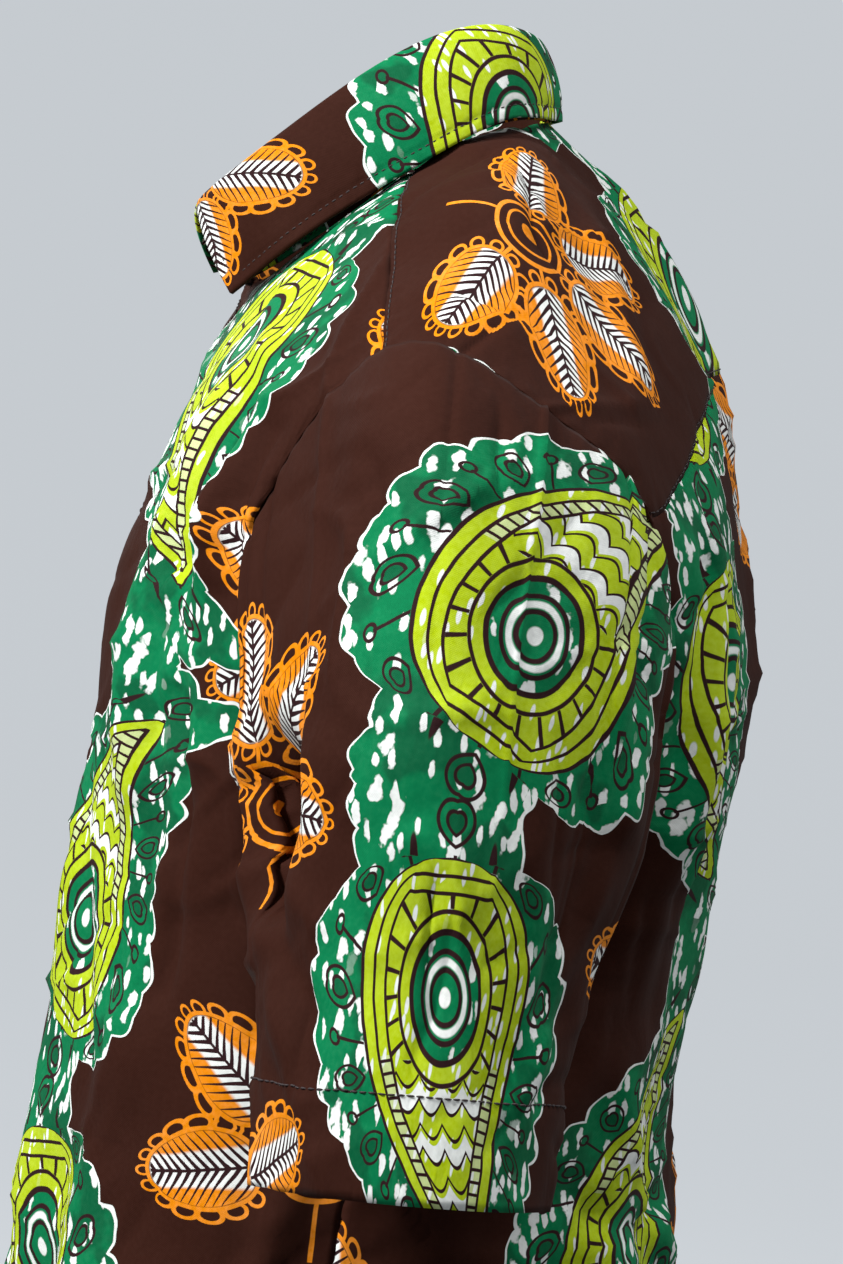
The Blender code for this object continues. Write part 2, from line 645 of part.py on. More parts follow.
def make_leaf(material):
    _, side, share = collar_turns(0)
    drop = np.linspace(0, 1, LEAF_ROWS + 1)
    points = leaf_form(share[None, :], drop[:, None], side[None, :])
    points[..., 0] *= side
    normals = grid_normals(points)
    turn = 1 - share * (1 - LEAF_FRONT_TURN)
    rise = unit(collar_fold(turn) - neckline(turn)) * np.stack((side, side**2, side**2), axis=-1)
    normals[0] = unit(normals[0] - rise * np.sum(normals[0] * rise, axis=-1, keepdims=True))
    return cloth_object("collar_leaf", [(points, normals, False, None)], material, COLLAR_WALL)


def make_button(name, centre, normal, material):
    """A flat disc with a rounded rim, lying just clear of the cloth, with its face along the normal."""
    outline = (
        (0.0, 0.0),
        (BUTTON_RADIUS - BUTTON_RIM, 0.0),
        (BUTTON_RADIUS, BUTTON_RIM),
        (BUTTON_RADIUS, BUTTON_THICKNESS - BUTTON_RIM),
        (BUTTON_RADIUS - BUTTON_RIM, BUTTON_THICKNESS),
        (0.0, BUTTON_THICKNESS),
    )
    mesh = bpy.data.meshes.new(name)
    shape = bmesh.new()
    points = [shape.verts.new((radius, 0.0, height)) for radius, height in outline]
    edges = [shape.edges.new(pair) for pair in zip(points, points[1:])]
    bmesh.ops.spin(
        shape,
        geom=points + edges,
        axis=(0, 0, 1),
        cent=(0, 0, 0),
        angle=2 * math.pi,
        steps=BUTTON_SEGMENTS,
        use_merge=True,
    )
    bmesh.ops.remove_doubles(shape, verts=shape.verts, dist=1e-6)
    bmesh.ops.recalc_face_normals(shape, faces=shape.faces)
    shape.to_mesh(mesh)
    shape.free()
    mesh.materials.append(material)
    item = bpy.data.objects.new(name, mesh)
    item.rotation_mode = "QUATERNION"
    item.rotation_quaternion = normal.to_track_quat("Z", "Y")
    item.location = centre
    bpy.context.scene.collection.objects.link(item)
    return item


def front_share(z):
    """Share of the way up the centre front at a height."""
    return (np.asarray(z) - CENTRE_FRONT[0].z) / (CENTRE_FRONT[-1].z - CENTRE_FRONT[0].z)


def front_normal(z):
    """Unit normal of the centre front, pointing out of the shirt."""
    low, high = centre_line(CENTRE_FRONT, front_share(np.array((z - SLOPE_STEP, z + SLOPE_STEP))))
    return Vector((0.0, -(high[2] - low[2]), high[1] - low[1])).normalized()


def make_buttons(material):
    clear_of_cloth = WALL / 2 + SEAM_GAP
    for number in range(FRONT_BUTTONS):
        z = FIRST_BUTTON_Z - BUTTON_SPACING * number
        point, normal = Vector(centre_line(CENTRE_FRONT, front_share(z))), front_normal(z)
        make_button(f"button_{number + 1}", point + normal * clear_of_cloth, normal, material)
    low, high = Vector(neckline(0.0)), Vector(collar_fold(0.0))
    rise = (high - low).normalized()
    normal = Vector((0.0, -rise.z, rise.y))
    centre = (low + high) / 2 + normal * (COLLAR_WALL / 2 + SEAM_GAP) + Vector((0.0, -STAND_LAP, 0.0))
    make_button("button_collar", centre, normal, material)


def plain_material(name, colour, roughness):
    material = bpy.data.materials.new(name)
    material.use_nodes = True
    shader = material.node_tree.nodes["Principled BSDF"]
    shader.inputs["Base Color"].default_value = colour
    shader.inputs["Roughness"].default_value = roughness
    shader.inputs["Metallic"].default_value = 0.0
    return material


def main():
    clear_scene()
    cloth = plain_material("printed_cotton", CLOTH_COLOUR, CLOTH_ROUGHNESS)
    button = plain_material("dark_button", BUTTON_COLOUR, BUTTON_ROUGHNESS)
    make_front("front_left", 1, cloth)
    make_front("front_right", -1, cloth)
    make_back(cloth)
    make_yoke(cloth)
    make_sleeve("sleeve_left", 1, cloth)
    make_sleeve("sleeve_right", -1, cloth)
    make_stand(cloth)
    make_leaf(cloth)
    make_buttons(button)


main()
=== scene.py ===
"""Short-sleeved printed shirt in its worn shape: cloth, print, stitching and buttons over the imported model.

Frame: metres, +Z up, -Y is the shirt's front, +X the wearer's left. The origin is the middle of the
neck opening, level with the tops of the shoulders.

The body is one smooth form, cut into two fronts, a yoke and a back. A point on it has two numbers:
across, from 0 at the centre line or neckline to 1 at the side seam or armhole, and along, from the
front hem over the shoulder to the back hem. A sleeve runs from the armhole loop to the cuff circle.
"""

import functools
import math
from collections import namedtuple

import bpy
import numpy as np
from mathutils import Matrix, Vector


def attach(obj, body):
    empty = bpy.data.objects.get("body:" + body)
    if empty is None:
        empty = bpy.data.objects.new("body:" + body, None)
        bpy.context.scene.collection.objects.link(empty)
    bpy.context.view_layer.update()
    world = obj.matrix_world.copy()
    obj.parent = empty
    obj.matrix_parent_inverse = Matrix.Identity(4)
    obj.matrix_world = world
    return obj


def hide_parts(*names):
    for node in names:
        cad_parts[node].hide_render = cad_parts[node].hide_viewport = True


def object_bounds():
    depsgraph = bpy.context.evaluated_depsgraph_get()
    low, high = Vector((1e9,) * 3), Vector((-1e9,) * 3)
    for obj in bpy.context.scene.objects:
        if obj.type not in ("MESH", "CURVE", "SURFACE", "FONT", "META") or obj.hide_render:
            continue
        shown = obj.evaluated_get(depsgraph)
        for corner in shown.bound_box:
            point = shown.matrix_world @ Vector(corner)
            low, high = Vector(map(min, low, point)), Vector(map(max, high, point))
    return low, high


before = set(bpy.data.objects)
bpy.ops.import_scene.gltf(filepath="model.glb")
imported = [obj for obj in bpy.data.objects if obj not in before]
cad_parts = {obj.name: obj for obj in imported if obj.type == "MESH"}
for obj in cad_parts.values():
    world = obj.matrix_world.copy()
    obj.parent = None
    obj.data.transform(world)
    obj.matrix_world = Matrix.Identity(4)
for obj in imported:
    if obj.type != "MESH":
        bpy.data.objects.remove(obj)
CAD_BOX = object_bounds()

bl_info = {
    "name": "Printed shirt",
    "version": (1, 0, 0),
    "blender": (4, 5, 0),
    "location": "View3D > Sidebar > Shirt",
    "description": "Builds a worn, short-sleeved shirt in printed cotton",
    "category": "Add Mesh",
}

# Cloth and seams
WALL = 0.0014
SEAM_GAP = 0.0004
# Share of the gap that the sleeve's start and the stand's foot keep off the seam line
SLEEVE_TRIM = 2.0
STAND_TRIM = 2.0

# Neckline: the seam between the body and the collar stand
NECK_HALF_WIDTH = 0.068
NECK_FRONT_Y, NECK_FRONT_Z = -0.063, -0.050
NECK_BACK_Y, NECK_BACK_Z = 0.053, 0.0345
NECK_SIDE_LIFT = 0.007
NECK_LIFT_SKEW = 1.5

# Top of the collar stand, where the collar leaf folds over
FOLD_HALF_WIDTH = 0.062
FOLD_FRONT_Y, FOLD_FRONT_Z = -0.086, -0.020
FOLD_BACK_Y, FOLD_BACK_Z = 0.045, 0.066
FOLD_SIDE_LIFT = 0.018
FOLD_LIFT_SKEW = 0.6
# The right point of the leaf stands off the chest
RIGHT_POINT_LIFT = np.array((0.004, -0.016, 0.010))
STAND_OVERLAP_TURN = 0.075
STAND_LAP = 0.0013
LEAF_FRONT_TURN = 0.035
RIGHT_POINT_FROM = 0.6
LEAF_ROLL_HEIGHT = 0.008
LEAF_ROLL_SHARE = 0.6
LEAF_REACH = 0.35
FOLD_CLEARANCE = 0.0012

# Front opening and buttons
PLACKET_HALF_WIDTH = 0.016
UNDERLAP_DEPTH = 0.0032
UNDERLAP_BLEND = 0.035
BUTTON_RADIUS = 0.0056
BUTTON_THICKNESS = 0.0024
BUTTON_RIM = 0.0009
FIRST_BUTTON_Z = -0.105
BUTTON_SPACING = 0.090
FRONT_BUTTONS = 6

# Cuff
CUFF_RADIUS = 0.053
CUFF_CENTRE = np.array((0.262, 0.050, -0.374))
CUFF_AXIS = np.array((0.16, 0.05, -0.97))

# How far the body's form is evened out
RELAX_ROUNDS = 10
RELAX_STEP = 0.5

# Mesh density
BODY_COLUMNS = 15
COLLAR_COLUMNS = 36
STAND_ROWS = 3
LEAF_ROWS = 8

Profile = namedtuple("Profile", "name z y")
CENTRE_FRONT = (
    Profile("hem", -0.715, -0.098),
    Profile("hip", -0.58, -0.103),
    Profile("belly", -0.45, -0.108),
    Profile("ribs", -0.31, -0.1015),
    Profile("below_chest", -0.25, -0.1005),
    Profile("chest", -0.205, -0.102),
    Profile("upper_chest", -0.145, -0.094),
    Profile("collar_bone", -0.09, -0.081),
    Profile("neck_pit", NECK_FRONT_Z, NECK_FRONT_Y),
)
CENTRE_BACK = (
    Profile("hem", -0.715, 0.187),
    Profile("seat", -0.53, 0.19),
    Profile("hip", -0.44, 0.176),
    Profile("waist", -0.37, 0.162),
    Profile("ribs", -0.275, 0.168),
    Profile("shoulder_blade", -0.18, 0.1735),
    Profile("upper_back", -0.099, 0.152),
    Profile("yoke", -0.058, 0.139),
    Profile("collar_root", -0.006, 0.107),
    Profile("below_collar", 0.022, 0.079),
    Profile("nape", NECK_BACK_Z, NECK_BACK_Y),
)

Side = namedtuple("Side", "name z x y")
SIDE_SEAM = (
    Side("hem", -0.715, 0.216, 0.042),
    Side("hip", -0.58, 0.213, 0.038),
    Side("waist", -0.43, 0.203, 0.03),
    Side("ribs", -0.34, 0.204, 0.034),
    Side("underarm", -0.255, 0.209, 0.042),
)

# The armhole loop, from the underarm up the front, over the shoulder and down the back
ArmholePoint = namedtuple("ArmholePoint", "name x y z")
ARMHOLE = (
    ArmholePoint("underarm", 0.209, 0.042, -0.255),
    ArmholePoint("front_low", 0.19, -0.018, -0.222),
    ArmholePoint("front_middle", 0.184, -0.039, -0.158),
    ArmholePoint("front_high", 0.19, -0.029, -0.11),
    ArmholePoint("front_yoke", 0.204, -0.004, -0.073),
    ArmholePoint("shoulder", 0.215, 0.028, -0.0655),
    ArmholePoint("shoulder_back", 0.215, 0.067, -0.086),
    ArmholePoint("back_yoke", 0.203, 0.101, -0.111),
    ArmholePoint("back_middle", 0.194, 0.122, -0.16),
    ArmholePoint("back_low", 0.199, 0.098, -0.228),
)

# Where the lines across the body start and end. inner: 0 to 1 up the centre front, 1 to 2 round the
# neckline, 2 to 3 down the centre back. outer: 0 to 1 up the side seam, 1 to 2 round the armhole,
# 2 to 3 down the side seam. squareness is the power of the rounded corner between them, and arch the
# power with which the line drops on its way outwards.
Station = namedtuple("Station", "name rows inner outer squareness arch")
STATIONS = (
    Station("front_hem", 0, 0.0, 0.0, 2.4, 1.0),
    Station("front_underarm", 14, 0.68, 1.0, 2.3, 1.0),
    Station("neck_pit", 8, 1.0, 1.32, 2.1, 1.4),
    Station("front_yoke_seam", 6, 1.53, 1.435, 2.0, 1.5),
    Station("nape", 8, 2.0, 1.6, 2.0, 1.7),
    Station("back_yoke_seam", 3, 2.126, 1.655, 2.2, 2.0),
    Station("back_underarm", 7, 2.4, 2.0, 2.4, 1.2),
    Station("back_hem", 14, 3.0, 3.0, 2.4, 1.0),
)

# The way the sleeve leaves the armhole, round the loop. reach is a share of the way to the cuff.
SleeveStart = namedtuple("SleeveStart", "name turn x y z reach")
SLEEVE_STARTS = (
    SleeveStart("underarm", 0.0, 0.34, 0.0, -0.94, 0.7),
    SleeveStart("front_low", 0.12, 0.72, -0.2, -0.67, 0.7),
    SleeveStart("front", 0.25, 0.42, 0.0, -0.9, 0.95),
    SleeveStart("top", 0.5, 0.86, 0.0, -0.5, 0.95),
    SleeveStart("back", 0.75, 0.5, 0.2, -0.84, 0.95),
    SleeveStart("back_low", 0.88, 0.6, 0.14, -0.79, 0.7),
    SleeveStart("underarm_again", 1.0, 0.34, 0.0, -0.94, 0.7),
)

# The free edge of the collar leaf, from the nape to the point
LeafEdge = namedtuple("LeafEdge", "name share x y z")
LEAF_EDGE = (
    LeafEdge("nape", 0.0, 0.0, 0.0585, 0.0375),
    LeafEdge("back", 0.27, 0.0575, 0.039, 0.0325),
    LeafEdge("side", 0.53, 0.077, -0.003, 0.0025),
    LeafEdge("front", 0.79, 0.07, -0.043, -0.031),
    LeafEdge("point", 1.0, 0.052, -0.068, -0.055),
)

# Soft ridges (height over 0) and troughs (under 0) that run between two points, on either side
Fold = namedtuple("Fold", "name x0 y0 z0 x1 y1 z1 height width left right")
FOLDS = (
    Fold("chest_fall", 0.062, -0.092, -0.085, 0.085, -0.105, -0.715, 0.005, 0.024, 1.0, 0.9),
    Fold("front_shoulder_ridge", 0.13, -0.07, -0.085, 0.125, -0.08, -0.15, 0.007, 0.016, 1.0, 0.8),
    Fold("front_shoulder_trough", 0.15, -0.06, -0.08, 0.15, -0.064, -0.165, -0.008, 0.014, 1.0, 1.1),
    Fold("front_arm_ridge", 0.166, -0.057, -0.09, 0.165, -0.052, -0.165, 0.006, 0.012, 1.0, 0.9),
    Fold("front_arm_trough", 0.178, -0.046, -0.105, 0.176, -0.044, -0.17, -0.004, 0.011, 1.0, 0.8),
    Fold("chest_ridge", 0.118, -0.09, -0.165, 0.14, -0.082, -0.255, 0.007, 0.018, 1.0, 0.7),
    Fold("chest_trough", 0.148, -0.076, -0.19, 0.165, -0.06, -0.33, -0.008, 0.018, 1.0, 0.9),
    Fold("ribs_ridge", 0.165, -0.06, -0.28, 0.15, -0.075, -0.47, 0.007, 0.02, 1.0, 0.8),
    Fold("front_hip_trough", 0.118, -0.095, -0.42, 0.122, -0.09, -0.715, -0.006, 0.02, 1.0, 0.7),
    Fold("front_hem_ridge", 0.165, -0.06, -0.5, 0.172, -0.055, -0.715, 0.0065, 0.018, 0.9, 1.0),
    Fold("side_hem_trough", 0.207, 0.01, -0.48, 0.214, 0.01, -0.715, -0.005, 0.02, 1.0, 0.9),
    Fold("blade_ridge", 0.16, 0.135, -0.13, 0.168, 0.14, -0.3, 0.007, 0.015, 1.0, 0.9),
    Fold("back_arm_trough", 0.185, 0.12, -0.18, 0.183, 0.108, -0.33, -0.007, 0.014, 1.0, 1.0),
    Fold("back_trough", 0.11, 0.168, -0.2, 0.1, 0.155, -0.44, -0.0055, 0.018, 1.0, 0.7),
    Fold("back_ridge", 0.145, 0.14, -0.33, 0.145, 0.145, -0.56, 0.006, 0.018, 0.9, 1.1),
    Fold("back_hem_trough", 0.095, 0.18, -0.52, 0.09, 0.185, -0.715, -0.0055, 0.02, 1.0, 0.8),
    Fold("back_hem_ridge", 0.165, 0.14, -0.52, 0.175, 0.14, -0.715, 0.006, 0.02, 0.8, 1.0),
    Fold("sleeve_cap_roll", 0.235, 0.07, -0.09, 0.24, 0.118, -0.135, 0.005, 0.012, 1.0, 0.9),
    Fold("sleeve_back_ridge", 0.25, 0.114, -0.14, 0.256, 0.118, -0.225, 0.0075, 0.014, 1.0, 0.9),
    Fold("sleeve_back_trough", 0.266, 0.106, -0.16, 0.275, 0.1, -0.3, -0.006, 0.013, 1.0, 0.8),
    Fold("sleeve_front_ridge", 0.236, -0.038, -0.14, 0.24, -0.034, -0.2, 0.005, 0.013, 1.0, 0.9),
    Fold("sleeve_front_dent", 0.232, -0.024, -0.232, 0.24, -0.018, -0.256, -0.012, 0.022, 1.0, 0.7),
    Fold("sleeve_front_trough", 0.262, -0.024, -0.13, 0.258, -0.016, -0.26, -0.004, 0.013, 1.0, 0.9),
    Fold("sleeve_outer_crease", 0.285, 0.0, -0.12, 0.302, 0.02, -0.25, 0.003, 0.008, 1.0, 0.8),
    Fold("sleeve_cuff_trough", 0.29, -0.006, -0.29, 0.296, -0.01, -0.38, -0.003, 0.012, 1.0, 0.8),
    Fold("sleeve_inner_trough", 0.214, 0.02, -0.275, 0.222, 0.02, -0.375, -0.004, 0.013, 1.0, 1.0),
)
FOLD_END_SOFTNESS = 0.22
FOLD_FREE_SHARE = 0.15
UNDERARM_LIFT = 0.30


def smooth_through(knots, values, at):
    """Monotone cubic curve through the rows of a short table, so it never overshoots them."""
    knots = np.asarray(knots, float)
    values = np.asarray(values, float)
    steps = np.diff(knots)
    slopes = np.diff(values) / steps
    bends = np.zeros(len(knots))
    bends[0], bends[-1] = slopes[0], slopes[-1]
    same_way = slopes[:-1] * slopes[1:] > 0
    weight_a = 2 * steps[1:] + steps[:-1]
    weight_b = steps[1:] + 2 * steps[:-1]
    safe = np.where(same_way, slopes[:-1] * slopes[1:], 1.0)
    mean = (weight_a + weight_b) * safe / (weight_a * slopes[1:] + weight_b * slopes[:-1] + (~same_way))
    bends[1:-1] = np.where(same_way, mean, 0.0)
    at = np.clip(np.asarray(at, float), knots[0], knots[-1])
    cell = np.clip(np.searchsorted(knots, at, side="right") - 1, 0, len(steps) - 1)
    t = (at - knots[cell]) / steps[cell]
    return (
        (2 * t**3 - 3 * t**2 + 1) * values[cell]
        + (t**3 - 2 * t**2 + t) * steps[cell] * bends[cell]
        + (3 * t**2 - 2 * t**3) * values[cell + 1]
        + (t**3 - t**2) * steps[cell] * bends[cell + 1]
    )


def unit(vectors):
    return vectors / np.maximum(np.linalg.norm(vectors, axis=-1, keepdims=True), 1e-12)


def column(table, name):
    return [getattr(row, name) for row in table]


def tilted_ring(turn, half_width, front, back, lift, skew):
    """Ring round the neck: turn 0 is the front, 1 the nape, and below 0 it passes the front.

    Its sides rise by lift, with more of the rise behind the middle as skew grows.
    """
    angle = math.pi * np.asarray(turn, float)
    middle = (np.array(front) + np.array(back)) / 2
    half = (np.array(back) - np.array(front)) / 2
    x = half_width * np.sin(angle)
    y = middle[0] - half[0] * np.cos(angle)
    rise = lift * np.sin(angle) ** 2 * (1 - skew * np.cos(angle))
    z = middle[1] - half[1] * np.cos(angle) + rise
    return np.stack((x, y, z), axis=-1)


def neckline(turn):
    front, back = (NECK_FRONT_Y, NECK_FRONT_Z), (NECK_BACK_Y, NECK_BACK_Z)
    return tilted_ring(turn, NECK_HALF_WIDTH, front, back, NECK_SIDE_LIFT, NECK_LIFT_SKEW)


def collar_fold(turn):
    front, back = (FOLD_FRONT_Y, FOLD_FRONT_Z), (FOLD_BACK_Y, FOLD_BACK_Z)
    return tilted_ring(turn, FOLD_HALF_WIDTH, front, back, FOLD_SIDE_LIFT, FOLD_LIFT_SKEW)


def catmull_rom(a, b, c, d, t):
    """The cubic from b to c whose slopes come from their neighbours a and d, at t from 0 to 1."""
    squared = a - 2.5 * b + 2 * c - d / 2
    cubed = 1.5 * (b - c) + (d - a) / 2
    return b + t * (c - a) / 2 + t**2 * squared + t**3 * cubed


def closed_loop(points, samples=60):
    """Dense points and their share of the length, on a smooth closed curve through the given ones."""
    points = np.asarray(points, float)
    t = np.linspace(0, 1, samples, endpoint=False)[:, None]
    count = len(points)
    stretches = [catmull_rom(*(points[(i + k) % count] for k in (-1, 0, 1, 2)), t) for i in range(count)]
    dense = np.concatenate(stretches + [points[:1]])
    length = np.concatenate(([0], np.cumsum(np.linalg.norm(np.diff(dense, axis=0), axis=1))))
    return dense, length / length[-1]


ARMHOLE_POINTS, ARMHOLE_SHARE = closed_loop([(p.x, p.y, p.z) for p in ARMHOLE])


def armhole(turn):
    """Point on the left armhole: turn 0 is the underarm, and it rises at the front."""
    return np.stack([np.interp(turn, ARMHOLE_SHARE, ARMHOLE_POINTS[:, k]) for k in range(3)], axis=-1)


def centre_line(table, share):
    """Point on the centre front or back, share 0 at the hem and 1 at the neck."""
    z = table[0].z + share * (table[-1].z - table[0].z)
    y = smooth_through(column(table, "z"), column(table, "y"), z)
    return np.stack((np.zeros_like(z), y, z), axis=-1)


def side_line(share):
    z = SIDE_SEAM[0].z + share * (SIDE_SEAM[-1].z - SIDE_SEAM[0].z)
    heights = column(SIDE_SEAM, "z")
    x = smooth_through(heights, column(SIDE_SEAM, "x"), z)
    y = smooth_through(heights, column(SIDE_SEAM, "y"), z)
    return np.stack((x, y, z), axis=-1)


def three_stretches(position, first, second, third):
    """Picks the edge curve for each position: 0 to 1, 1 to 2 or 2 to 3."""
    position = np.asarray(position, float)[..., None]
    share = position[..., 0]
    low = first(np.clip(share, 0, 1))
    middle = second(np.clip(share - 1, 0, 1))
    high = third(np.clip(3 - share, 0, 1))
    return np.where(position <= 1, low, np.where(position <= 2, middle, high))


def inner_edge(position):
    return three_stretches(
        position, lambda s: centre_line(CENTRE_FRONT, s), neckline, lambda s: centre_line(CENTRE_BACK, s)
    )


def outer_edge(position):
    return three_stretches(position, side_line, armhole, side_line)


def station_row(name):
    """The number of the row of points at a named station."""
    total = 0
    for station in STATIONS:
        total += station.rows
        if station.name == name:
            return total
    raise ValueError(name)


def body_form(across, row):
    """Point of the left half of the body. across 0 to 1 is centre to side, row counts from the front hem.

    Seen from above, each line from the inner to the outer edge is a quarter of a rounded rectangle,
    and its height falls with its way outwards.
    """
    across, row = np.broadcast_arrays(np.asarray(across, float), np.asarray(row, float))
    at = np.cumsum(column(STATIONS, "rows"))
    inner = inner_edge(smooth_through(at, column(STATIONS, "inner"), row))
    outer = outer_edge(np.interp(row, at, column(STATIONS, "outer")))
    power = 2 / smooth_through(at, column(STATIONS, "squareness"), row)
    angle = across * math.pi / 2
    out_share = np.sin(angle) ** power
    round_share = np.clip(np.cos(angle), 0, 1) ** power
    x = inner[..., 0] + (outer[..., 0] - inner[..., 0]) * out_share
    y = outer[..., 1] + (inner[..., 1] - outer[..., 1]) * round_share
    arch = smooth_through(at, column(STATIONS, "arch"), row)
    z = inner[..., 2] + (outer[..., 2] - inner[..., 2]) * out_share**arch
    return np.stack((x, y, z), axis=-1)


def sleeve_form(turn, share, start):
    """Point of the left sleeve: turn goes round from the underarm, share 0 to 1 from start to cuff.

    Each line down the sleeve is a cubic that leaves its start at the armhole in a set direction and
    meets the cuff circle along the cuff's axis.
    """
    leave, reach = sleeve_leaving(turn)
    axis = unit(CUFF_AXIS)
    outward = unit(np.array((1.0, 0.0, 0.0)) - axis * axis[0])
    forward = np.cross(outward, axis)
    forward *= -np.sign(forward[1])
    angle = math.pi * (1 - 2 * turn)[..., None]
    cuff = CUFF_CENTRE + CUFF_RADIUS * (outward * np.cos(angle) + forward * np.sin(angle))
    way = np.linalg.norm(cuff - start, axis=-1) * reach
    t = share[..., None, None]
    return (
        (2 * t**3 - 3 * t**2 + 1) * start
        + (t**3 - 2 * t**2 + t) * leave * way[..., None]
        + (3 * t**2 - 2 * t**3) * cuff
        + (t**3 - t**2) * axis * way[..., None]
    )


def sleeve_leaving(turn):
    """The unit direction in which the sleeve leaves the armhole, and its reach."""
    knots = column(SLEEVE_STARTS, "turn")
    leave = np.stack([smooth_through(knots, column(SLEEVE_STARTS, k), turn) for k in "xyz"], axis=-1)
    return unit(leave), smooth_through(knots, column(SLEEVE_STARTS, "reach"), turn)


def sleeve_start(edge, normals, leave):
    """Where the sleeve's wall starts, beside the body's armhole edge or over it where it turns back."""
    along = unit(np.gradient(edge, axis=0))
    beside = np.cross(along, normals)
    aside = np.clip(np.sum(leave * beside, axis=-1), 0, 1)
    over = np.clip(np.sum(leave * normals, axis=-1), 0, 1) + UNDERARM_LIFT
    length = np.hypot(aside, over)
    way = (beside * aside[..., None] + normals * over[..., None]) / length[..., None]
    return edge + way * (SEAM_GAP * SLEEVE_TRIM + WALL * over / length)[..., None]


def fold_heights(points, side):
    """How far each point moves out: a bell across each fold's line, fading at the line's two ends."""
    total = np.zeros(points.shape[:-1])
    for fold in FOLDS:
        start = np.array((fold.x0 * side, fold.y0, fold.z0))
        way = np.array((fold.x1 * side, fold.y1, fold.z1)) - start
        share = ((points - start) @ way) / (way @ way)
        nearest = start + np.clip(share, 0, 1)[..., None] * way
        distance = np.linalg.norm(points - nearest, axis=-1)
        fade = np.clip(np.minimum(share, 1 - share) / FOLD_END_SOFTNESS + 1, 0, 1)
        strength = fold.left if side > 0 else fold.right
        total += strength * fold.height * np.exp(-((distance / fold.width) ** 2)) * fade
    return total


def grid_normals(points, wrap=False):
    """Unit normals of a grid of points, by the differences between neighbours."""
    if wrap:
        padded = np.concatenate((points[:, -1:], points, points[:, :1]), axis=1)
        by_column = np.gradient(padded, axis=1)[:, 1:-1]
    else:
        by_column = np.gradient(points, axis=1)
    return unit(np.cross(by_column, np.gradient(points, axis=0)))


def relaxed(points):
    """Evens out a grid: each inner point moves towards the mean of its four neighbours, a few times."""
    points = points.copy()
    for _ in range(RELAX_ROUNDS):
        around = points[2:, 1:-1] + points[:-2, 1:-1] + points[1:-1, 2:] + points[1:-1, :-2]
        points[1:-1, 1:-1] += (around / 4 - points[1:-1, 1:-1]) * RELAX_STEP
    return points


def leaf_form(share, drop, side):
    """Point of the collar leaf, share 0 at the nape to 1 at the front, drop 0 to 1, side 1 or -1.

    Down each line the leaf is a cubic that leaves the top of the stand upwards and rolls over outwards.
    """
    share, drop, side = np.broadcast_arrays(np.asarray(share, float), np.asarray(drop, float), side)
    turn = 1 - share * (1 - LEAF_FRONT_TURN)
    low, high = neckline(turn), collar_fold(turn)
    rise = unit(high - low)
    knots = column(LEAF_EDGE, "share")
    edge = np.stack([smooth_through(knots, column(LEAF_EDGE, k), share) for k in "xyz"], axis=-1)
    to_point = np.clip(share - RIGHT_POINT_FROM, 0, 1) / (1 - RIGHT_POINT_FROM) * (side < 0)
    edge = edge + RIGHT_POINT_LIFT * to_point[..., None] ** 2
    start = high + rise * FOLD_CLEARANCE
    middle = np.array((0.0, (FOLD_FRONT_Y + FOLD_BACK_Y) / 2, 0.0))
    outward = unit((high - middle) * np.array((1.0, 1.0, 0.0)))
    first = start + rise * LEAF_ROLL_HEIGHT
    second = start + (outward + rise * LEAF_ROLL_SHARE) * LEAF_ROLL_HEIGHT + (edge - start) * LEAF_REACH
    t = drop[..., None]
    left = 1 - t
    return left**3 * start + 3 * t * left**2 * first + 3 * t**2 * left * second + t**3 * edge


# How much finer the shown cloth is than the form's own grid
FINER_ROWS = 7
FINER_COLUMNS = 5
FINE_SLEEVE_ROWS = 84
FINE_SLEEVE_TURN = 7
FINE_COLLAR = 8

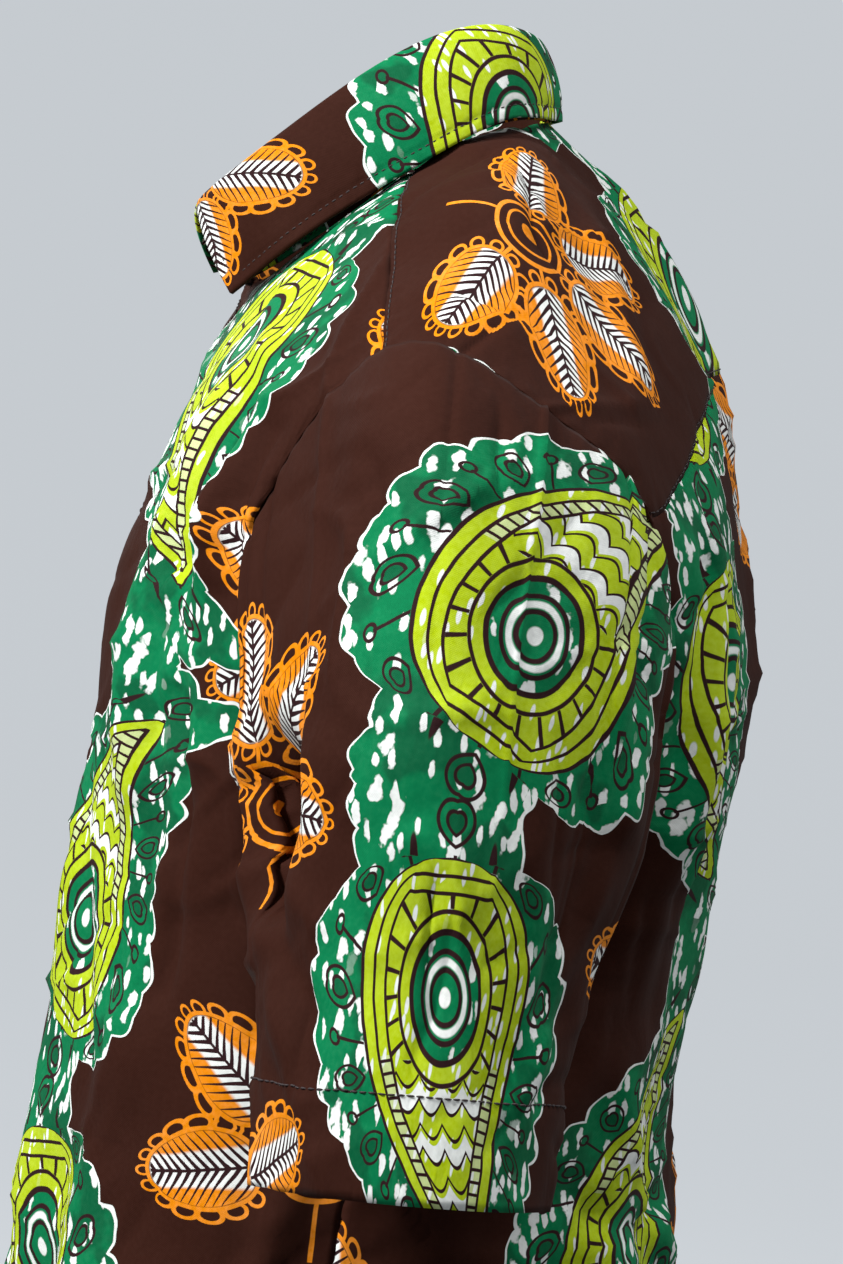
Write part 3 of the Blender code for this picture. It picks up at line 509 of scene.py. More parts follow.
# Creases that only the shown cloth has: start, middle and end on the left side, height and width.
# A height under 0 is a trough. right and left say how strong it is on each side.
Crease = namedtuple("Crease", "name start middle end height width right left", defaults=(1,))
CREASES = tuple(Crease(*row) for row in (
    ("strap_a", (0.165, -0.06, -0.098), (0.166, -0.057, -0.13), (0.166, -0.052, -0.163), 0.003, 0.0055, 0.7),
    ("strap", (0.184, -0.046, -0.096), (0.186, -0.043, -0.126), (0.183, -0.039, -0.158), 0.0026, 0.005, 0.5),
    ("strap_in", (0.13, -0.08, -0.1), (0.131, -0.077, -0.138), (0.136, -0.066, -0.172), -0.0034, 0.0065, 0.8),
    ("chest", (0.15, -0.075, -0.194), (0.153, -0.06, -0.256), (0.15, -0.056, -0.345), 0.0032, 0.007, 0.6),
    ("chest_low", (0.163, -0.06, -0.215), (0.168, -0.05, -0.27), (0.166, -0.046, -0.33), -0.003, 0.007, 0.8),
    ("belly_drag", (0.15, -0.056, -0.36), (0.14, -0.066, -0.42), (0.12, -0.085, -0.5), 0.0026, 0.009, 0.7),
    ("slant", (0.06, -0.098, -0.24), (0.095, -0.092, -0.3), (0.135, -0.078, -0.37), -0.0022, 0.009, 1, 0.8),
    ("front_low", (0.05, -0.105, -0.47), (0.075, -0.102, -0.59), (0.07, -0.1, -0.71), 0.0028, 0.012, 0.8),
    ("side_drag", (0.205, 0.02, -0.33), (0.203, 0.005, -0.42), (0.2, -0.01, -0.52), 0.0028, 0.009, 0.9),
    ("blade_a", (0.172, 0.133, -0.135), (0.176, 0.13, -0.2), (0.172, 0.128, -0.29), 0.0034, 0.0065, 0.8),
    ("blade_b", (0.145, 0.15, -0.15), (0.15, 0.148, -0.23), (0.14, 0.148, -0.33), -0.0026, 0.008, 0.9),
    ("back_slant", (0.165, 0.13, -0.33), (0.12, 0.155, -0.39), (0.06, 0.168, -0.43), 0.0026, 0.01, 0.6),
    ("waist_cross", (0.17, 0.11, -0.38), (0.13, 0.145, -0.405), (0.08, 0.16, -0.4), -0.0024, 0.008, 1, 0.8),
    ("seat_drag", (0.12, 0.165, -0.45), (0.128, 0.168, -0.56), (0.135, 0.17, -0.7), 0.003, 0.011, 0.9),
    ("cap_front", (0.238, -0.03, -0.118), (0.242, -0.03, -0.14), (0.247, -0.028, -0.165), 0.0022, 0.005, 0.8),
    ("facet_right", (0.291, 0.012, -0.126), (0.301, 0.014, -0.195), (0.309, 0.02, -0.3), 0.0026, 0.0085, 0.8),
    ("facet", (0.274, -0.01, -0.158), (0.282, -0.01, -0.215), (0.288, -0.008, -0.295), -0.0028, 0.008, 0.8),
    ("facet_edge", (0.262, -0.022, -0.15), (0.268, -0.022, -0.2), (0.274, -0.02, -0.27), 0.002, 0.006, 0.8),
    ("drag", (0.262, 0.108, -0.128), (0.27, 0.112, -0.172), (0.274, 0.113, -0.225), 0.0034, 0.0042, 0.8, 0.8),
    ("valley", (0.274, 0.1, -0.14), (0.282, 0.104, -0.18), (0.284, 0.106, -0.235), -0.0036, 0.0055, 0.8, 0.8),
    ("gap_fold", (0.168, 0.134, -0.125), (0.172, 0.134, -0.165), (0.174, 0.132, -0.215), -0.004, 0.0075, 0.8),
    ("flank_fold", (0.142, 0.151, -0.125), (0.14, 0.153, -0.19), (0.136, 0.152, -0.27), 0.003, 0.008, 0.8),
    ("outer", (0.272, -0.026, -0.124), (0.274, -0.028, -0.142), (0.276, -0.029, -0.163), 0.002, 0.0045, 0.8),
    ("cap_back", (0.24, 0.069, -0.084), (0.246, 0.094, -0.103), (0.25, 0.114, -0.13), 0.003, 0.0055, 0.7),
    ("cap_under", (0.246, 0.082, -0.108), (0.25, 0.102, -0.13), (0.254, 0.114, -0.16), -0.0028, 0.006, 0.8),
    ("arm_back_a", (0.255, 0.112, -0.152), (0.262, 0.117, -0.2), (0.27, 0.113, -0.245), 0.0034, 0.006, 0.8),
    ("arm_back_b", (0.276, 0.102, -0.168), (0.283, 0.1, -0.23), (0.284, 0.098, -0.3), -0.0028, 0.007, 0.7),
    ("arm_back_c", (0.262, 0.11, -0.255), (0.28, 0.096, -0.3), (0.292, 0.076, -0.352), 0.0026, 0.007, 0.6),
    ("elbow", (0.25, -0.018, -0.236), (0.272, -0.012, -0.262), (0.296, 0.008, -0.276), 0.0024, 0.007, 0.7),
    ("elbow_low", (0.25, -0.012, -0.268), (0.276, -0.008, -0.29), (0.298, 0.01, -0.31), -0.0022, 0.0075, 0.7),
    ("cuff_slant", (0.262, 0.0, -0.3), (0.29, 0.006, -0.33), (0.308, 0.026, -0.368), 0.0016, 0.008, 0.8),
    ("dent", (0.244, -0.026, -0.215), (0.246, -0.024, -0.245), (0.25, -0.02, -0.28), -0.0085, 0.02, 0.6),
    ("centre_fall", (0.0, -0.094, -0.085), (0.0, -0.1, -0.18), (0.0, -0.106, -0.34), -0.004, 0.026, 1),
    ("yoke_pull", (0.08, -0.045, -0.04), (0.11, -0.05, -0.062), (0.15, -0.045, -0.082), 0.0012, 0.008, 1),
    ("yoke_back", (0.075, 0.075, -0.004), (0.12, 0.09, -0.04), (0.17, 0.098, -0.082), 0.0014, 0.01, 1),
))
CREASE_FADE = 0.30
CREASE_DEPTH = 2.9
MOAT_DEPTH = 0.30
MOAT_WIDTH = 2.6

# Slow, uneven waves of worn cotton: wavelength along three directions, height and start
Wave = namedtuple("Wave", "x y z height phase")
WAVES = (
    Wave(0.31, 0.23, 0.115, 0.0011, 0.4),
    Wave(0.12, -0.19, 0.36, 0.00115, 2.1),
    Wave(-0.085, 0.14, 0.16, 0.0007, 4.0),
    Wave(0.055, 0.075, -0.062, 0.00026, 1.2),
    Wave(-0.047, 0.052, 0.041, 0.00018, 5.1),
)

# Thin wrinkles in scattered patches: wavelengths along three directions, how they bend, where they show
Crumple = namedtuple("Crumple", "x y z bend patch_y patch_z height phase")
CRUMPLES = (
    Crumple(0.21, 0.16, 0.07, 0.35, 0.19, 0.23, 0.0027, 0.3),
    Crumple(-0.12, 0.075, 0.105, 0.3, -0.15, 0.17, 0.0023, 1.1),
    Crumple(0.085, -0.11, 0.062, 0.42, 0.11, -0.19, 0.0019, 2.6),
    Crumple(0.3, 0.058, -0.145, 0.26, 0.13, 0.15, 0.0021, 3.9),
    Crumple(-0.1, -0.064, 0.058, 0.3, 0.1, -0.12, 0.0015, 5.0),
    Crumple(0.16, 0.09, -0.048, 0.38, -0.09, 0.13, 0.0013, 0.8),
)
CRUMPLE_SHARPNESS = 5.0
CRUMPLE_BEND_X, CRUMPLE_BEND_Y, CRUMPLE_BEND_Z = 0.23, 0.17, 0.21
CRUMPLE_PATCH_X = 0.31
DRAPE_HEIGHT = 0.0072
DRAPE_MIDDLE_Y = 0.040
DRAPE_TOP_Z = -0.300
DRAPE_GROWTH = 0.36

# Seams: how far the cloth sinks at a seam, and the ripples that the stitches pull into it
SEAM_SINK = 0.0009
SEAM_SINK_WIDTH = 0.0022
PUCKER_HEIGHT = 0.00026
PUCKER_LENGTH = 0.0105
PUCKER_REACH = 0.0080
HEM_STEP = 0.00055
HEM_STEP_WIDTH = 0.0016
HEM_SINK_WIDTH = 0.0014
STITCH_SINK_WIDTH = 0.0012
PLACKET_COLUMNS = 5
PLACKET_RELIEF = 0.0004
PLACKET_EDGE_WIDTH = 0.004
LEAF_SOFT_HEIGHT = 0.0006
COLLAR_MIDDLE = np.array((0.0, -0.01, 0.0))
LEAF_MIDDLE = np.array((0.0, -0.01, 0.02))

# How a cut is laid flat: rounds, and how far each pulls a pair of points
FLAT_ROUNDS = 260
FLAT_STEP = 0.12


def between_knots(points, factor, axis, before=None):
    """Fills in a grid along one axis, with factor steps between its points.

    before is the slice that stands in front of the first one. Past the ends the grid goes on straight.
    """
    points = np.moveaxis(points, axis, 0)
    first = 2 * points[:1] - points[1:2] if before is None else before[None]
    last = 2 * points[-1:] - points[-2:-1]
    padded = np.concatenate((first, points, last))
    t = (np.arange(factor) / factor).reshape((1, factor) + (1,) * (points.ndim - 1))
    curve = catmull_rom(*(padded[k:len(points) - 1 + k, None] for k in range(4)), t)
    filled = curve.reshape((-1,) + points.shape[1:])
    return np.moveaxis(np.concatenate((filled, points[-1:])), 0, axis)


def finer(grid, columns=FINER_COLUMNS, rows=FINER_ROWS, before=None):
    """Fills in a grid both ways."""
    return between_knots(between_knots(grid, columns, 1, before), rows, 0)


def crease_heights(points, side):
    """Bells across each crease, whose line is a parabola through its three points, faded at both ends.

    A wider, lower bell is taken off each, so that a shallow moat lies beside the crease.
    """
    total = np.zeros(points.shape[:-1])
    for crease in CREASES:
        strength = crease.left if side > 0 else crease.right
        flip = np.array((side, 1.0, 1.0))
        start, middle, end = (np.array(p) * flip for p in (crease.start, crease.middle, crease.end))
        way = end - start
        share = np.clip(((points - start) @ way) / (way @ way), -CREASE_FADE, 1 + CREASE_FADE)
        bow = middle - (start + end) / 2
        nearest = start + share[..., None] * way + bow * (4 * share * (1 - share))[..., None]
        distance = np.linalg.norm(points - nearest, axis=-1)
        fade = np.clip(np.minimum(share, 1 - share) / CREASE_FADE + 0.5, 0, 1)
        fade = fade * fade * (3 - 2 * fade)
        across = distance / crease.width
        bell = np.exp(-across**2) - MOAT_DEPTH * np.exp(-(across / MOAT_WIDTH) ** 2)
        total += CREASE_DEPTH * strength * crease.height * bell * fade
    return total


def wave_heights(points):
    """Sum of slow sine waves over the place of each point."""
    total = np.zeros(points.shape[:-1])
    for wave in WAVES:
        turns = points[..., 0] / wave.x + points[..., 1] / wave.y + points[..., 2] / wave.z
        total += wave.height * np.sin(2 * math.pi * turns + wave.phase)
    return total


def drape_heights(points):
    """Slow upright folds that grow from the chest to the hem: two sines of the way round the body.

    Each sine's own way round is bent by a slower one, so that no two folds are alike.
    """
    x, y, z = np.moveaxis(points, -1, 0)
    way_round = np.arctan2(x, DRAPE_MIDDLE_Y - y)
    grow = np.clip((DRAPE_TOP_Z - z) / DRAPE_GROWTH, 0, 1)
    first = np.sin(8 * way_round + 2.4 * np.sin(2 * way_round + 0.7) + 5.0 * z)
    second = np.sin(13 * way_round + 1.3 + 1.6 * np.sin(3 * way_round) - 7.0 * z)
    return DRAPE_HEIGHT * grow * grow * (3 - 2 * grow) * (0.62 * first + 0.38 * second)


def crumple_heights(points):
    """Thin ridges: 1 minus the size of a bent sine, to a high power, inside patches that sines cut out."""
    x, y, z = np.moveaxis(points, -1, 0)
    total = np.zeros(points.shape[:-1])
    along = y / CRUMPLE_BEND_Y + x / CRUMPLE_BEND_X - z / CRUMPLE_BEND_Z
    for number, crumple in enumerate(CRUMPLES):
        bend = crumple.bend * np.sin(2 * math.pi * along + crumple.phase)
        turns = x / crumple.x + y / crumple.y + z / crumple.z + bend
        ridge = (1 - np.abs(np.sin(math.pi * turns + crumple.phase))) ** CRUMPLE_SHARPNESS
        place = y / crumple.patch_y + z / crumple.patch_z + x / CRUMPLE_PATCH_X
        patch = np.clip(np.sin(2 * math.pi * place + 1.7 * number) * 1.6 - 0.2, 0, 1)
        total += crumple.height * ridge * patch * (-1) ** number
    return total


def worn_heights(points, side):
    """The folds, creases, waves and crumples of worn cloth together."""
    height = fold_heights(points, side) + crease_heights(points, side) + wave_heights(points)
    return height + crumple_heights(points)


def arc_lengths(points, axis):
    """Distance along the grid lines of one axis, from 0 at the first point."""
    steps = np.linalg.norm(np.diff(points, axis=axis), axis=-1)
    start = np.zeros_like(np.take(steps, [0], axis=axis))
    return np.concatenate((start, np.cumsum(steps, axis=axis)), axis=axis)


def seam_height(distance, along):
    """Height of the cloth beside a seam: it sinks at the seam and ripples beside it."""
    sink = SEAM_SINK * np.exp(-((distance / SEAM_SINK_WIDTH) ** 2))
    ripple = np.sin(2 * math.pi * along / PUCKER_LENGTH + 2.2 * np.sin(along / 0.037))
    return PUCKER_HEIGHT * ripple * np.exp(-distance / PUCKER_REACH) - sink


def hem_height(distance, depth, along):
    """Height of a hem: a step up at its stitches, which sink in and pull small slanting ripples."""
    step = HEM_STEP / (1 + np.exp(np.clip((distance - depth) / HEM_STEP_WIDTH * 2, -40, 40)))
    from_stitches = np.abs(distance - depth + HEM_STEP_WIDTH)
    slant = np.sin(2 * math.pi * (along + 0.4 * distance) / PUCKER_LENGTH + 1.8 * np.sin(along / 0.041))
    ripple = PUCKER_HEIGHT * 0.8 * slant * np.exp(-from_stitches / PUCKER_REACH)
    return step + ripple - SEAM_SINK * 0.5 * np.exp(-((from_stitches / HEM_SINK_WIDTH) ** 2))


def flattened(points):
    """Lays a grid out flat: two numbers a point, whose distances come near those on the cloth.

    It starts from distances along the grid lines. Then each pair of neighbours, the two crossing
    pairs of each cell too, moves along its line towards its true distance, again and again.
    """
    middle = points.shape[1] // 2
    across = arc_lengths(points, 1)
    across = across - across[:, middle:middle + 1]
    down = np.repeat(arc_lengths(points, 0)[:, middle:middle + 1], points.shape[1], axis=1)
    flat = np.stack((across, down), axis=-1)
    pairs = (
        (np.s_[:, 1:], np.s_[:, :-1]),
        (np.s_[1:, :], np.s_[:-1, :]),
        (np.s_[1:, 1:], np.s_[:-1, :-1]),
        (np.s_[1:, :-1], np.s_[:-1, 1:]),
    )
    wanted = [np.linalg.norm(points[a] - points[b], axis=-1) for a, b in pairs]
    for _ in range(FLAT_ROUNDS):
        move = np.zeros_like(flat)
        for (a, b), length in zip(pairs, wanted):
            gap = flat[a] - flat[b]
            size = np.maximum(np.linalg.norm(gap, axis=-1), 1e-9)
            pull = gap * ((length - size) / size * FLAT_STEP)[..., None]
            move[a] += pull
            move[b] -= pull
        flat = flat + move
    return flat


def fine_body(side):
    """Points and normals of one half of the body on the fine grid, before its seams, and its coarse grid.

    The even form is filled in with cubics. Folds, creases, waves, crumples and drape move it along its
    normals.
    """
    rows = np.arange(station_row("back_hem") + 1)
    across = np.linspace(0, 1, BODY_COLUMNS + 1)
    base = relaxed(body_form(across[None, :], rows[:, None]))
    mirrored = base[:, 1] * np.array((-1.0, 1.0, 1.0))
    on_centre = (rows <= station_row("neck_pit")) | (rows >= station_row("nape"))
    before = np.where(on_centre[:, None], mirrored, 2 * base[:, 0] - base[:, 1])
    fine = finer(base, before=before)
    fine_on_centre = np.append(np.repeat(on_centre[:-1], FINER_ROWS), True)
    fine[fine_on_centre, 0, 0] = 0.0
    flip = np.array((side, 1.0, 1.0))
    height = worn_heights(fine * flip, side) + drape_heights(fine * flip)
    shape = fine + fine_normals(fine, fine_on_centre) * height[..., None]
    shape[fine_on_centre, 0, 0] = 0.0
    return shape * flip, fine_normals(shape, fine_on_centre) * flip, base


@functools.cache
def fine_halves():
    """Both halves of the body on the fine grid, worked out once."""
    return {side: fine_body(side) for side in (1, -1)}


def fine_normals(points, on_centre):
    """Outward normals, the same on both sides of the side seam and without a side lean on the centre."""
    normals = grid_normals(points)
    armpit = station_row("front_underarm") * FINER_ROWS
    both = unit(normals[:armpit + 1, -1] + normals[::-1][:armpit + 1, -1])
    normals[:armpit + 1, -1] = both
    normals[::-1][:armpit + 1, -1] = both
    normals[on_centre, 0, 0] = 0
    return unit(normals)


def fine_row(name):
    return station_row(name) * FINER_ROWS


# How each panel is laid on the printed cloth: turn in degrees and the print's place at the panel's middle
Cut = namedtuple("Cut", "name turn across along")
CUTS = (
    Cut("front_left", 0, 0.02, 0.03),
    Cut("front_right", 0, 0.105, 0.16),
    Cut("back", 0, 0.135, 0.09),
    Cut("yoke", 12, 0.007, -0.052),
    Cut("sleeve_left", 8, -0.034, 0.019),
    Cut("sleeve_right", 8, 0.12, 0.12),
    Cut("collar_stand", 0, 0.09, 0.03),
    Cut("collar_leaf", 0, -0.068, 0.052),
)


# The way over the shoulder, front to back, that the yoke covers at each depth
YokeWay = namedtuple("YokeWay", "y way")
YOKE_WAYS = (
    YokeWay(-0.09, -0.14),
    YokeWay(-0.06, -0.104),
    YokeWay(0.03, 0.0),
    YokeWay(0.06, 0.036),
    YokeWay(0.1, 0.088),
    YokeWay(0.16, 0.176),
)
YOKE_SLOPE_STRETCH = 1.08


def yoke_flat(points):
    """The yoke laid flat: the place from side to side, and the way over the shoulder from the table."""
    way = np.interp(points[..., 1], column(YOKE_WAYS, "y"), column(YOKE_WAYS, "way"))
    return np.stack((points[..., 0] * YOKE_SLOPE_STRETCH, way), axis=-1)


def on_print(name, flat, middle=None):
    """The places of a flat panel on the printed cloth, turned about the panel's middle."""
    cut = next(row for row in CUTS if row.name == name)
    cosine, sine = math.cos(math.radians(cut.turn)), math.sin(math.radians(cut.turn))
    if middle is None:
        middle = (flat.reshape(-1, 2).min(axis=0) + flat.reshape(-1, 2).max(axis=0)) / 2
    across, along = np.moveaxis(flat - middle, -1, 0)
    turned = (across * cosine - along * sine + cut.across, across * sine + along * cosine + cut.along)
    return np.stack(turned, axis=-1)


def add_mesh(name, points, faces, material):
    """A smooth mesh object at the origin, with one material."""
    mesh = bpy.data.meshes.new(name)
    mesh.from_pydata(points, [], faces)
    mesh.materials.append(material)
    mesh.shade_smooth()
    mesh.update()
    item = bpy.data.objects.new(name, mesh)
    bpy.context.scene.collection.objects.link(item)
    return item


def cloth_piece(name, grids, lined):
    """One sheet of cloth from grids of (points, normals, print places, which cells are cloth or None).

    Points that grids share become one. A Solidify modifier gives the wall, half to each side.
    """
    sizes = bpy.context.scene.shirt_threads
    all_points, all_places, all_cells, count = [], [], [], 0
    for points, normals, places, is_cloth in grids:
        rows, columns = points.shape[:2]
        number = np.arange(rows * columns).reshape(rows, columns) + count
        cells = np.stack((number[:-1, :-1], number[:-1, 1:], number[1:, 1:], number[1:, :-1]), axis=-1)
        facing = np.cross(points[1:, 1:] - points[:-1, :-1], points[1:, :-1] - points[:-1, 1:])
        if np.sum(facing * normals[:-1, :-1]) < 0:
            cells = cells[..., ::-1]
        all_cells.append(cells.reshape(-1, 4) if is_cloth is None else cells[is_cloth])
        all_points.append(points.reshape(-1, 3))
        all_places.append(places.reshape(-1, 2))
        count += rows * columns
    points, cells = np.concatenate(all_points), np.concatenate(all_cells)
    _, first, merged = np.unique(np.round(points, 6), axis=0, return_index=True, return_inverse=True)
    faces = merged.reshape(-1)[cells]
    used, faces = np.unique(faces, return_inverse=True)
    item = add_mesh(name, points[first[used]].tolist(), faces.reshape(-1, 4).tolist(), printed_cotton())
    corners = np.concatenate(all_places)[cells.reshape(-1)].astype(np.float32)
    item.data.uv_layers.new(name="print").data.foreach_set("uv", corners.reshape(-1))
    wall = item.modifiers.new("wall", "SOLIDIFY")
    wall.thickness = sizes.collar_wall if lined else sizes.cloth_wall
    wall.offset = 0.0
    wall.use_even_offset = False
    return item


def line_beside(points, normals, distance, from_end=False, axis=0):
    """The line on a grid at a distance from its first or last line, with its normals.

    axis 0 goes from row to row, and axis 1 from column to column.
    """
    if from_end:
        points, normals = np.flip(points, axis), np.flip(normals, axis)
    points, normals = np.moveaxis(points, axis, 0), np.moveaxis(normals, axis, 0)
    length = arc_lengths(points, 0)
    cell = np.clip((length < distance).sum(axis=0) - 1, 0, len(points) - 2)[None]
    low, high = (np.take_along_axis(length, cell + k, 0)[0] for k in (0, 1))
    share = ((distance - low) / (high - low))[:, None]
    ends = [[np.take_along_axis(a, (cell + k)[..., None], 0)[0] for k in (0, 1)] for a in (points, normals)]
    place, lean = (a + (b - a) * share for a, b in ends)
    return place, unit(lean)


# A stitch: rings along the thread, each ring a few points round it
STITCH_RINGS = 5
STITCH_SIDES = 5


def stitch_points(line, leans, spacing, length, radius):
    """Threads laid end to end on a line: each is a tube that rises from the cloth, arches and dips back."""
    way = arc_lengths(line, 0)
    count = max(int(way[-1] / spacing), 1)
    middle = (np.arange(count) + 0.5) * way[-1] / count
    along = np.linspace(-0.5, 0.5, STITCH_RINGS)
    at = middle[:, None] + along[None, :] * length
    centre, up = (np.stack([np.interp(at, way, a[:, k]) for k in range(3)], axis=-1) for a in (line, leans))
    up = unit(up)
    ahead = unit(centre[:, -1:] - centre[:, :1]) + 0 * up
    aside = unit(np.cross(ahead, up))
    arch = np.cos(along * math.pi)[None, :, None]
    girth = radius * (0.45 + 0.55 * np.sqrt(np.clip(1 - (2 * along) ** 2, 0, 1)))[None, :, None, None]
    lift = centre + up * (radius * (1.5 * arch - 0.5))
    turn = np.arange(STITCH_SIDES) / STITCH_SIDES * 2 * math.pi
    round_it = aside[:, :, None] * np.cos(turn)[:, None] + up[:, :, None] * np.sin(turn)[:, None]
    return lift[:, :, None] + round_it * girth


def stitching(name, rows):
    """All the threads of one piece as one mesh, from arrays of stitch_points."""
    threads = np.concatenate(rows)
    ring = np.arange(STITCH_SIDES)
    after = (ring + 1) % STITCH_SIDES
    level = np.arange(STITCH_RINGS - 1)[:, None] * STITCH_SIDES
    corners = (level + ring, level + after, level + after + STITCH_SIDES, level + ring + STITCH_SIDES)
    step = STITCH_RINGS * STITCH_SIDES
    begin = np.arange(len(threads))[:, None] * step
    quads = (np.stack(corners, -1).reshape(1, -1, 4) + begin[..., None]).reshape(-1, 4).tolist()
    ends = (ring[::-1] + begin).tolist() + (ring + step - STITCH_SIDES + begin).tolist()
    item = add_mesh(name, threads.reshape(-1, 3).tolist(), quads + ends, thread_material())
    middle = Vector(threads[0].mean(axis=(0, 1)))
    if sum(face.normal.dot(face.center - middle) for face in item.data.polygons[:20]) < 0:
        item.data.flip_normals()
    return item


# The print: oval medallions in scalloped clouds, in columns with a half drop, and leaf sprays between them
PRINT_REPEAT = 0.300
PRINT_STEP = 0.185
PRINT_DROP = 0.070
MEDALLION_TURN = math.radians(12)
MEDALLION_HALF_LENGTH = 0.074
MEDALLION_FULLNESS = 0.062
MEDALLION_BEND = 0.036
CLOUD_DEPTH = 0.0265
CLOUD_SCALLOP = 0.0045
CLOUD_LINK = 0.026
CLOUD_SWAY = 0.034
PRINT_LINE = 0.00085
PRINT_SOFT = 0.00014
EYE_PLACE = -0.026
EYE_HALF_WIDTH = 0.0185
EYE_HALF_HEIGHT = 0.0225
LEAF_TURN = math.radians(52)
LEAF_DISTANCE = 0.049
LEAF_HALF_LENGTH = 0.0245
LEAF_HALF_WIDTH = 0.0150
LEAF_LOOPS = 15
LOOP_RADIUS = 0.0031
# How far noise pushes the print, the clouds' edges and the links between them
PRINT_WANDER = 0.0030
CLOUD_WANDER = 0.016
LINK_WANDER = 0.020
CLOUD_SCALLOPS = 13.0
LINK_SCALLOP_STEP = 0.0150
RIM_LINE = 0.0006
FINE_LINE = 0.0007
# Width and height of the cells that each hold an undyed drop, speck or tear
DROP_CELL = (0.0056, 0.0118)
SPECK_CELL = (0.0031, 0.0098)
TEAR_CELL = (0.0100, 0.0150)
# Lobes and curls round a medallion. LOBE_REACH turns their angle into metres.
LOBES = 12
LOBE_REACH = 0.066
LOBE_OUT = 0.0115
LOBE_HALF_WIDTH = 0.0068
LOBE_HALF_LENGTH = 0.0078
LOBE_TAPER = 60.0
LOBE_NOTCH = 0.55
VEIN_END = 0.0150
CURL_OUT = 0.0165
CURL_RADIUS = 0.0026
# The medallion's band, in from its outline, its waves and its rays
BAND_START = 0.0062
BAND_END = 0.0122
BAND_START_Y = 0.006
INSIDE_FROM = 0.0128
RUNG_HALF_STEP = 0.0021
WAVES_FROM_Y = 0.004
WAVE_LENGTH = 0.0125
WAVE_HEIGHT = 0.0050
WAVE_HALF_STEP = 0.0041
EYE_RAYS = 20
# The spray's middle, its leaves' taper and chevrons, and the lace's loops
SPRAY_LOW = 0.020
STEM_RING = 0.0165
STEM_END = 0.040
STALK_LINE = 0.0009
LEAF_TAPER = 9.0
CHEVRON_SLOPE = 0.85
CHEVRON_HALF_STEP = 0.0021
LOOP_OUT = 0.0024


def node_maths(operation):
    """A method of Field that adds a Math node with one operation."""

    def method(self, *others):
        return self.math(operation, *others)

    return method


class Field:
    """A number that changes over the surface: a node's output, with ordinary arithmetic on it."""

    __add__ = __radd__ = node_maths("ADD")
    __sub__ = node_maths("SUBTRACT")
    __mul__ = __rmul__ = node_maths("MULTIPLY")
    __truediv__ = node_maths("DIVIDE")
    __abs__ = node_maths("ABSOLUTE")
    sine = node_maths("SINE")
    cosine = node_maths("COSINE")
    root = node_maths("SQRT")
    least = node_maths("MINIMUM")
    most = node_maths("MAXIMUM")
    nearest_whole = node_maths("ROUND")

    def __init__(self, tree, socket):
        self.tree = tree
        self.socket = socket

    def math(self, operation, *others):
        node = self.tree.nodes.new("ShaderNodeMath")
        node.operation = operation
        for place, value in zip(node.inputs, (self,) + others):
            put(self.tree, place, value)
        return Field(self.tree, node.outputs[0])

    def __rsub__(self, other):
        return (self * -1.0) + other

    def wrapped(self, half):
        """The distance from the nearest multiple of twice half, from -half to half."""
        return self.math("WRAP", half, -half)

    def below(self, limit, soft=PRINT_SOFT):
        """1 where the number is under the limit and 0 above it, with a soft step between."""
        node = self.tree.nodes.new("ShaderNodeMapRange")
        node.interpolation_type = "SMOOTHSTEP"
        put(self.tree, node.inputs["Value"], self - limit)
        for name, value in (("From Min", -soft), ("From Max", soft), ("To Min", 1.0), ("To Max", 0.0)):
            node.inputs[name].default_value = value
        return Field(self.tree, node.outputs["Result"])

    def above(self, limit, soft=PRINT_SOFT):
        return 1.0 - self.below(limit, soft)

    def line(self, half_width=PRINT_LINE, soft=PRINT_SOFT):
        """1 where the number is near 0: a line along the zero line of a field in metres."""
        return abs(self).below(half_width, soft)


def put(tree, socket, value):
    """Links a field or socket to an input, or sets the input to a plain value."""
    if isinstance(value, Field):
        tree.links.new(value.socket, socket)
    elif isinstance(value, bpy.types.NodeSocket):
        tree.links.new(value, socket)
    else:
        socket.default_value = value


def length_of(across, along):
    return (across * across + along * along).root()


def direction_of(across, along):
    return across.math("ARCTAN2", along)


def new_group(name, inputs, outputs):
    """A shader node group with named sockets: (tree, its input node, its output node)."""
    tree = bpy.data.node_groups.new(name, "ShaderNodeTree")
    for socket_name, kind, default in inputs:
        socket = tree.interface.new_socket(socket_name, in_out="INPUT", socket_type=kind)
        if default is not None:
            socket.default_value = default
    for socket_name, kind in outputs:
        tree.interface.new_socket(socket_name, in_out="OUTPUT", socket_type=kind)
    return tree, tree.nodes.new("NodeGroupInput"), tree.nodes.new("NodeGroupOutput")


def layered(tree, base, *layers):
    """Lays colours over a base one after another, each through its mask."""
    for mask, colour in layers:
        node = tree.nodes.new("ShaderNodeMix")
        node.data_type = "RGBA"
        put(tree, node.inputs[0], mask)
        put(tree, node.inputs[6], base)
        put(tree, node.inputs[7], colour)
        base = node.outputs[2]
    return base


def noise_field(tree, place, scale, detail=2.0):
    node = tree.nodes.new("ShaderNodeTexNoise")
    put(tree, node.inputs["Vector"], place)
    node.inputs["Scale"].default_value = scale
    node.inputs["Detail"].default_value = detail
    return Field(tree, node.outputs["Fac"])


def drops_field(tree, across, along, width, height):
    """Distance from the middle of long drops scattered over the cloth, and one random number a drop."""
    place = tree.nodes.new("ShaderNodeCombineXYZ")
    put(tree, place.inputs[0], across / width)
    put(tree, place.inputs[1], along / height)
    cells = tree.nodes.new("ShaderNodeTexVoronoi")
    cells.voronoi_dimensions = "2D"
    cells.inputs["Scale"].default_value = 1.0
    put(tree, cells.inputs["Vector"], place.outputs[0])
    chance = tree.nodes.new("ShaderNodeSeparateColor")
    put(tree, chance.inputs[0], cells.outputs["Color"])
    return Field(tree, cells.outputs["Distance"]), Field(tree, chance.outputs[0])


